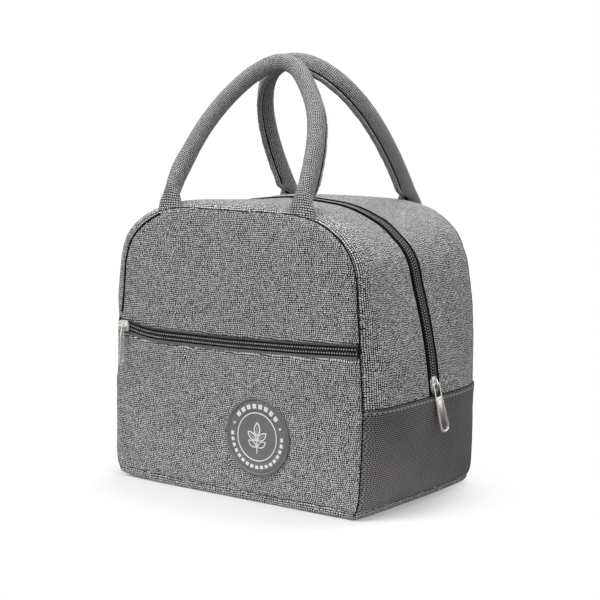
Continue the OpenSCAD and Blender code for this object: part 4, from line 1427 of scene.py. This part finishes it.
def metal_piece(name, parts, matrix, material, bevel_width, body):
    """joins parts, places them with a matrix in mm and rounds their edges"""
    joined = bmesh.new()
    for part in parts:
        passing = bpy.data.meshes.new("part")
        part.to_mesh(passing)
        joined.from_mesh(passing)
        bpy.data.meshes.remove(passing)
        part.free()
    for vertex in joined.verts:
        vertex.co = (matrix @ vertex.co) * MM
    joined.normal_update()
    mesh = bpy.data.meshes.new(name)
    joined.to_mesh(mesh)
    joined.free()
    mesh.materials.append(material)
    mesh.polygons.foreach_set("use_smooth", [True] * len(mesh.polygons))
    piece = bpy.data.objects.new(name, mesh)
    COLLECTION.objects.link(piece)
    bevel = piece.modifiers.new("bevel", "BEVEL")
    bevel.width = bevel_width * MM
    bevel.segments = 3
    bevel.limit_method = "ANGLE"
    bevel.angle_limit = math.radians(30)
    attach(piece, body, "zip_metal", body)


def rounded(points, radius, count):
    """closed polygon with its corners rounded"""
    points = np.array(points, float)
    result = []
    for i, corner in enumerate(points):
        back, ahead = points[i - 1] - corner, points[(i + 1) % len(points)] - corner
        back_length, ahead_length = np.linalg.norm(back), np.linalg.norm(ahead)
        cut = min(radius, 0.45 * back_length, 0.45 * ahead_length)
        start, end = corner + back / back_length * cut, corner + ahead / ahead_length * cut
        for t in np.linspace(0, 1, count):
            result.append(tuple((1 - t) ** 2 * start + 2 * t * (1 - t) * corner + t * t * end))
    return result


def ellipse(centre_y, centre_z, radius_y, radius_z, count):
    turns = [2 * math.pi * k / count for k in range(count)]
    return [(centre_y + radius_y * math.cos(turn), centre_z + radius_z * math.sin(turn))
            for turn in turns]


def axes_matrix(origin, x_axis, y_axis, z_axis):
    rows = [(*x_axis, 0), (*y_axis, 0), (*z_axis, 0), (*origin, 1)]
    return Matrix(rows).transposed()


# a slider's own frame: x out of the bag, y across the zip, z along it
SLIDER_OUTER = 6.8                               # underside of the outer plate
SLIDER_INNER = 3.7                               # upper side of the inner plate
SLIDER_HALF = 6.0                                # half length


def slider_parts():
    outer, inner, half = SLIDER_OUTER, SLIDER_INNER, SLIDER_HALF
    face = rounded([
        (-2.4, half), (2.4, half), (3.3, half - 1.0), (3.5, 0.4), (4.0, -half + 3),
        (3.6, -half + 0.9), (1.9, -half), (0, -half + 0.7), (-1.9, -half),
        (-3.6, -half + 0.9), (-4.0, -half + 3), (-3.5, 0.4), (-3.3, half - 1.0)], 0.9, 4)
    boss = rounded([(-1.7, half - 1.4), (1.7, half - 1.4), (1.9, -half + 2.2),
                    (-1.9, -half + 2.2)], 1.2, 4)
    parts = [plate(face, outer, outer + 1.2),
             plate(boss, outer + 1.1, outer + 1.55),
             plate(face, inner - 1.2, inner)]
    # side flanges, then the post between the plates: y and z limits, x limits
    for y_from, y_to, z_from, z_to, x_from, x_to in (
            (-3.98, -3.50, -half + 1.6, half - 1.8, outer - 1.1, outer + 0.3),
            (3.50, 3.98, -half + 1.6, half - 1.8, outer - 1.1, outer + 0.3),
            (-0.6, 0.6, -half + 0.3, -half + 2.9, inner - 0.2, outer + 0.2)):
        corners = [(y_from, z_from), (y_to, z_from), (y_to, z_to), (y_from, z_to)]
        parts.append(plate(corners, x_from, x_to))
    # bail: an arched loop from nose to tail
    turn = np.linspace(0, math.pi, 22)
    x = outer + 1.0 + 2.5 * np.sin(turn) ** 0.55
    parts.append(tube(np.stack([x, 0 * turn, 4.0 * np.cos(turn)], -1), 0.62))
    return parts


def main_pull_parts(length=34):
    """hangs along -z from its pin at the origin, flat face towards x"""
    outline = rounded([
        (-3.15, 0.6), (3.15, 0.6), (3.35, -8.2), (4.45, -length + 5), (4.2, -length + 1.6),
        (2.0, -length), (-2.0, -length), (-4.2, -length + 1.6), (-4.45, -length + 5),
        (-3.35, -8.2)], 1.6, 7)
    window = rounded([(-1.95, -0.9), (1.95, -0.9), (2.05, -9.2), (-2.05, -9.2)], 0.35, 3)
    hole = ellipse(0, -length + 5.0, 2.35, 3.5, 28)
    # raised rim down both edges and round the foot, on both faces
    rim_inner = rounded([
        (-2.3, -10.8), (2.3, -10.8), (3.3, -length + 5.2), (3.15, -length + 2.3),
        (1.4, -length + 0.95), (-1.4, -length + 0.95), (-3.15, -length + 2.3),
        (-3.3, -length + 5.2)], 1.2, 6)
    rim_outer = rounded([
        (-3.1, -9.9), (3.1, -9.9), (4.3, -length + 5), (4.05, -length + 1.75),
        (1.9, -length + 0.15), (-1.9, -length + 0.15), (-4.05, -length + 1.75),
        (-4.3, -length + 5)], 1.6, 7)
    return [plate(outline, -0.5, 0.5, [window, hole]),
            plate(rim_outer, 0.4, 0.85, [rim_inner]),
            plate([(-y, z) for y, z in rim_outer], -0.85, -0.4,
                  [[(-y, z) for y, z in rim_inner]])]


def pocket_pull_part(length=28.0):
    """flat pull that hangs edge-on from its bail"""
    outline = rounded([
        (2.0, 0.4), (1.75, -1.5), (2.0, -6.5), (2.0, -length + 4.5), (1.6, -length + 1.4),
        (0.2, -length), (-3.2, -length), (-4.5, -length + 1.4), (-4.95, -length + 4.5),
        (-3.5, -6.5), (-1.9, -1.5), (-1.9, 0.5), (-1.2, 1.9), (1.1, 1.9)], 0.8, 4)
    pin_hole = ellipse(0, 0, 0.82, 0.82, 16)
    window = rounded([(-0.9, -3.2), (0.7, -3.2), (0.7, -8.0), (-1.4, -8.0)], 0.4, 3)
    foot_hole = ellipse(-1.5, -length + 4.4, 1.5, 2.2, 20)
    return plate(outline, -0.6, 0.6, [pin_hole, window, foot_hole])


def sliders_and_pulls():
    shift = Matrix.Translation
    # the main slider sits low on the right-hand end, along the leaning wall
    lean = math.atan(WALL_LEAN - BELLY / (CORNER_Z - PATCH_Z))
    z = PATCH_Z + 9
    main = axes_matrix((float(wall_x(z)) + float(belly_at(z)), 0, z),
                       (math.cos(lean), 0, -math.sin(lean)), (0, 1, 0),
                       (math.sin(lean), 0, math.cos(lean)))
    metal_piece("main_slider_body", slider_parts(), main @ shift((-0.7, -0.6, -0.8)), M_NICKEL,
                0.22, "main_slider")

    # the pocket slider is at the left end of its zip
    x, y = -96.0, -HALF_DEPTH + 2.5
    pocket = axes_matrix((x, y, POCKET_Z), (0, -1, 0), (0, 0, -1), (1, 0, 0))
    pocket = pocket @ shift((0, 0, -1.2)) @ Matrix.Diagonal((1, 1, 0.80, 1))
    metal_piece("pocket_slider_body", slider_parts(), pocket, M_TIN, 0.22, "pocket_slider")

    hang = main @ shift((SLIDER_OUTER + 1.3, -0.6, 0))
    for degrees, axis in ((5.5, "X"), (-3.5, "Y"), (-14, "Z")):
        hang = hang @ Matrix.Rotation(math.radians(degrees), 4, axis)
    metal_piece("main_pull_body", main_pull_parts(), hang, M_NICKEL, 0.2, "main_pull")

    hang = axes_matrix((x, y - (SLIDER_OUTER + 3.2), POCKET_Z), (0.85, 0, 0), (0, 0.72, 0),
                       (0, 0, 1))
    metal_piece("pocket_pull_body", [pocket_pull_part()], hang, M_TIN, 0.25, "pocket_pull")


sliders_and_pulls()

# ------------------------------------------------------------------ CAD piece that stays
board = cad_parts["bottom_board"].data.materials
if board:
    for i in range(len(board)):
        board[i] = M_BOARD
else:
    board.append(M_BOARD)

# ------------------------------------------------------------------ stage, light, camera
scene = bpy.context.scene
scene.view_settings.view_transform = "Standard"
scene.view_settings.look = "None"
scene.view_settings.exposure = 0.0


def studio_world():
    """white to the camera, dimmer as light, banded by height in reflections"""
    world = bpy.data.worlds.new("studio")
    scene.world = world
    world.use_nodes = True
    nodes = Nodes(world.node_tree)
    background = nodes.tree.nodes["Background"]
    background.inputs[0].default_value = (1.0, 1.0, 1.0, 1)
    glossy_ray = nodes.node("ShaderNodeLightPath", {}, "Is Glossy Ray")
    direction = nodes.node("ShaderNodeTexCoord", {}, "Generated")
    height = nodes.node("ShaderNodeSeparateXYZ", {0: direction}, 2)
    # height, brightness
    bands = ((0.0, 0.05), (0.06, 0.12), (0.14, 0.95), (0.32, 1.0), (0.42, 0.12), (0.56, 0.15),
             (0.68, 1.0))
    reflected = nodes.ramp(height, [(at, grey(value)) for at, value in bands]) * 1.6
    strength = nodes.mix(glossy_ray, 0.56, reflected)
    strength = nodes.mix(glossy_ray.output("Is Camera Ray"), strength, 1.0)
    nodes.feed(background.inputs[1], strength)


def studio_floor():
    """pale floor that glows into plain white away from the bag; the glow is painted light that
    washes out the bag's cast shadow beyond a small area round it
    """
    pale = Shader("pale_floor", rough=0.95, specular=0.05)
    pale.set("Base Color", (0.93, 0.93, 0.93, 1))
    place = pale.node("ShaderNodeNewGeometry", {}, "Position")
    offset = pale.node("ShaderNodeVectorMath", {0: place, 1: (0.0, -0.05, 0.0)},
                       operation="SUBTRACT")
    distance = pale.node("ShaderNodeVectorMath", {0: offset}, "Value", operation="LENGTH")
    camera_ray = pale.node("ShaderNodeLightPath", {}, "Is Camera Ray")
    glow = pale.node("ShaderNodeEmission", {0: (1, 1, 1, 1), 1: pale.mix(camera_ray, 0.10, 1.0)})
    whiteness = 0.12 + pale.step(distance, 0.115, 0.20) * 0.88
    surface = Value(pale, pale.principled.outputs[0])
    mixed = pale.node("ShaderNodeMixShader", {0: whiteness, 1: surface, 2: glow})
    pale.feed(pale.tree.nodes["Material Output"].inputs["Surface"], mixed)
    reach, z = 6000, -0.05
    corners = [(-reach, -reach, z), (reach, -reach, z), (reach, reach, z), (-reach, reach, z)]
    mesh_object("studio_floor", corners, [(0, 1, 2, 3)], None, pale.material,
                         slack=False)


def area_light(name, location, target, size, power):
    light = bpy.data.lights.new(name, "AREA")
    light.energy = power
    light.size = size
    lamp = bpy.data.objects.new(name, light)
    COLLECTION.objects.link(lamp)
    lamp.location = location
    aim = Vector(target) - Vector(location)
    lamp.rotation_euler = aim.to_track_quat("-Z", "Y").to_euler()


studio_world()
studio_floor()
area_light("key", (-0.50, -1.0, 1.15), target=(0, 0, 0.12), size=0.9, power=14.0)
area_light("side", (1.2, -0.7, 0.9), target=(0, 0, 0.12), size=0.8, power=4.8)
area_light("top", (0.05, 0.55, 1.4), target=(0, 0, 0.15), size=1.0, power=10)

lens = bpy.data.cameras.new("camera")
camera = bpy.data.objects.new("camera", lens)
COLLECTION.objects.link(camera)
lens.sensor_width = 36
lens.lens = 94.93176
lens.clip_start = 0.05
lens.clip_end = 50
# looks at the front and the right-hand end from a little above
camera.matrix_world = axes_matrix(
    (0.673687, -0.921763, 0.271873),
    x_axis=(0.8075737, 0.58962835, 0.01277186),
    y_axis=(-0.08187007, 0.09063314, 0.99251344),
    z_axis=(0.58405651, -0.80257339, 0.12146586))
scene.camera = camera
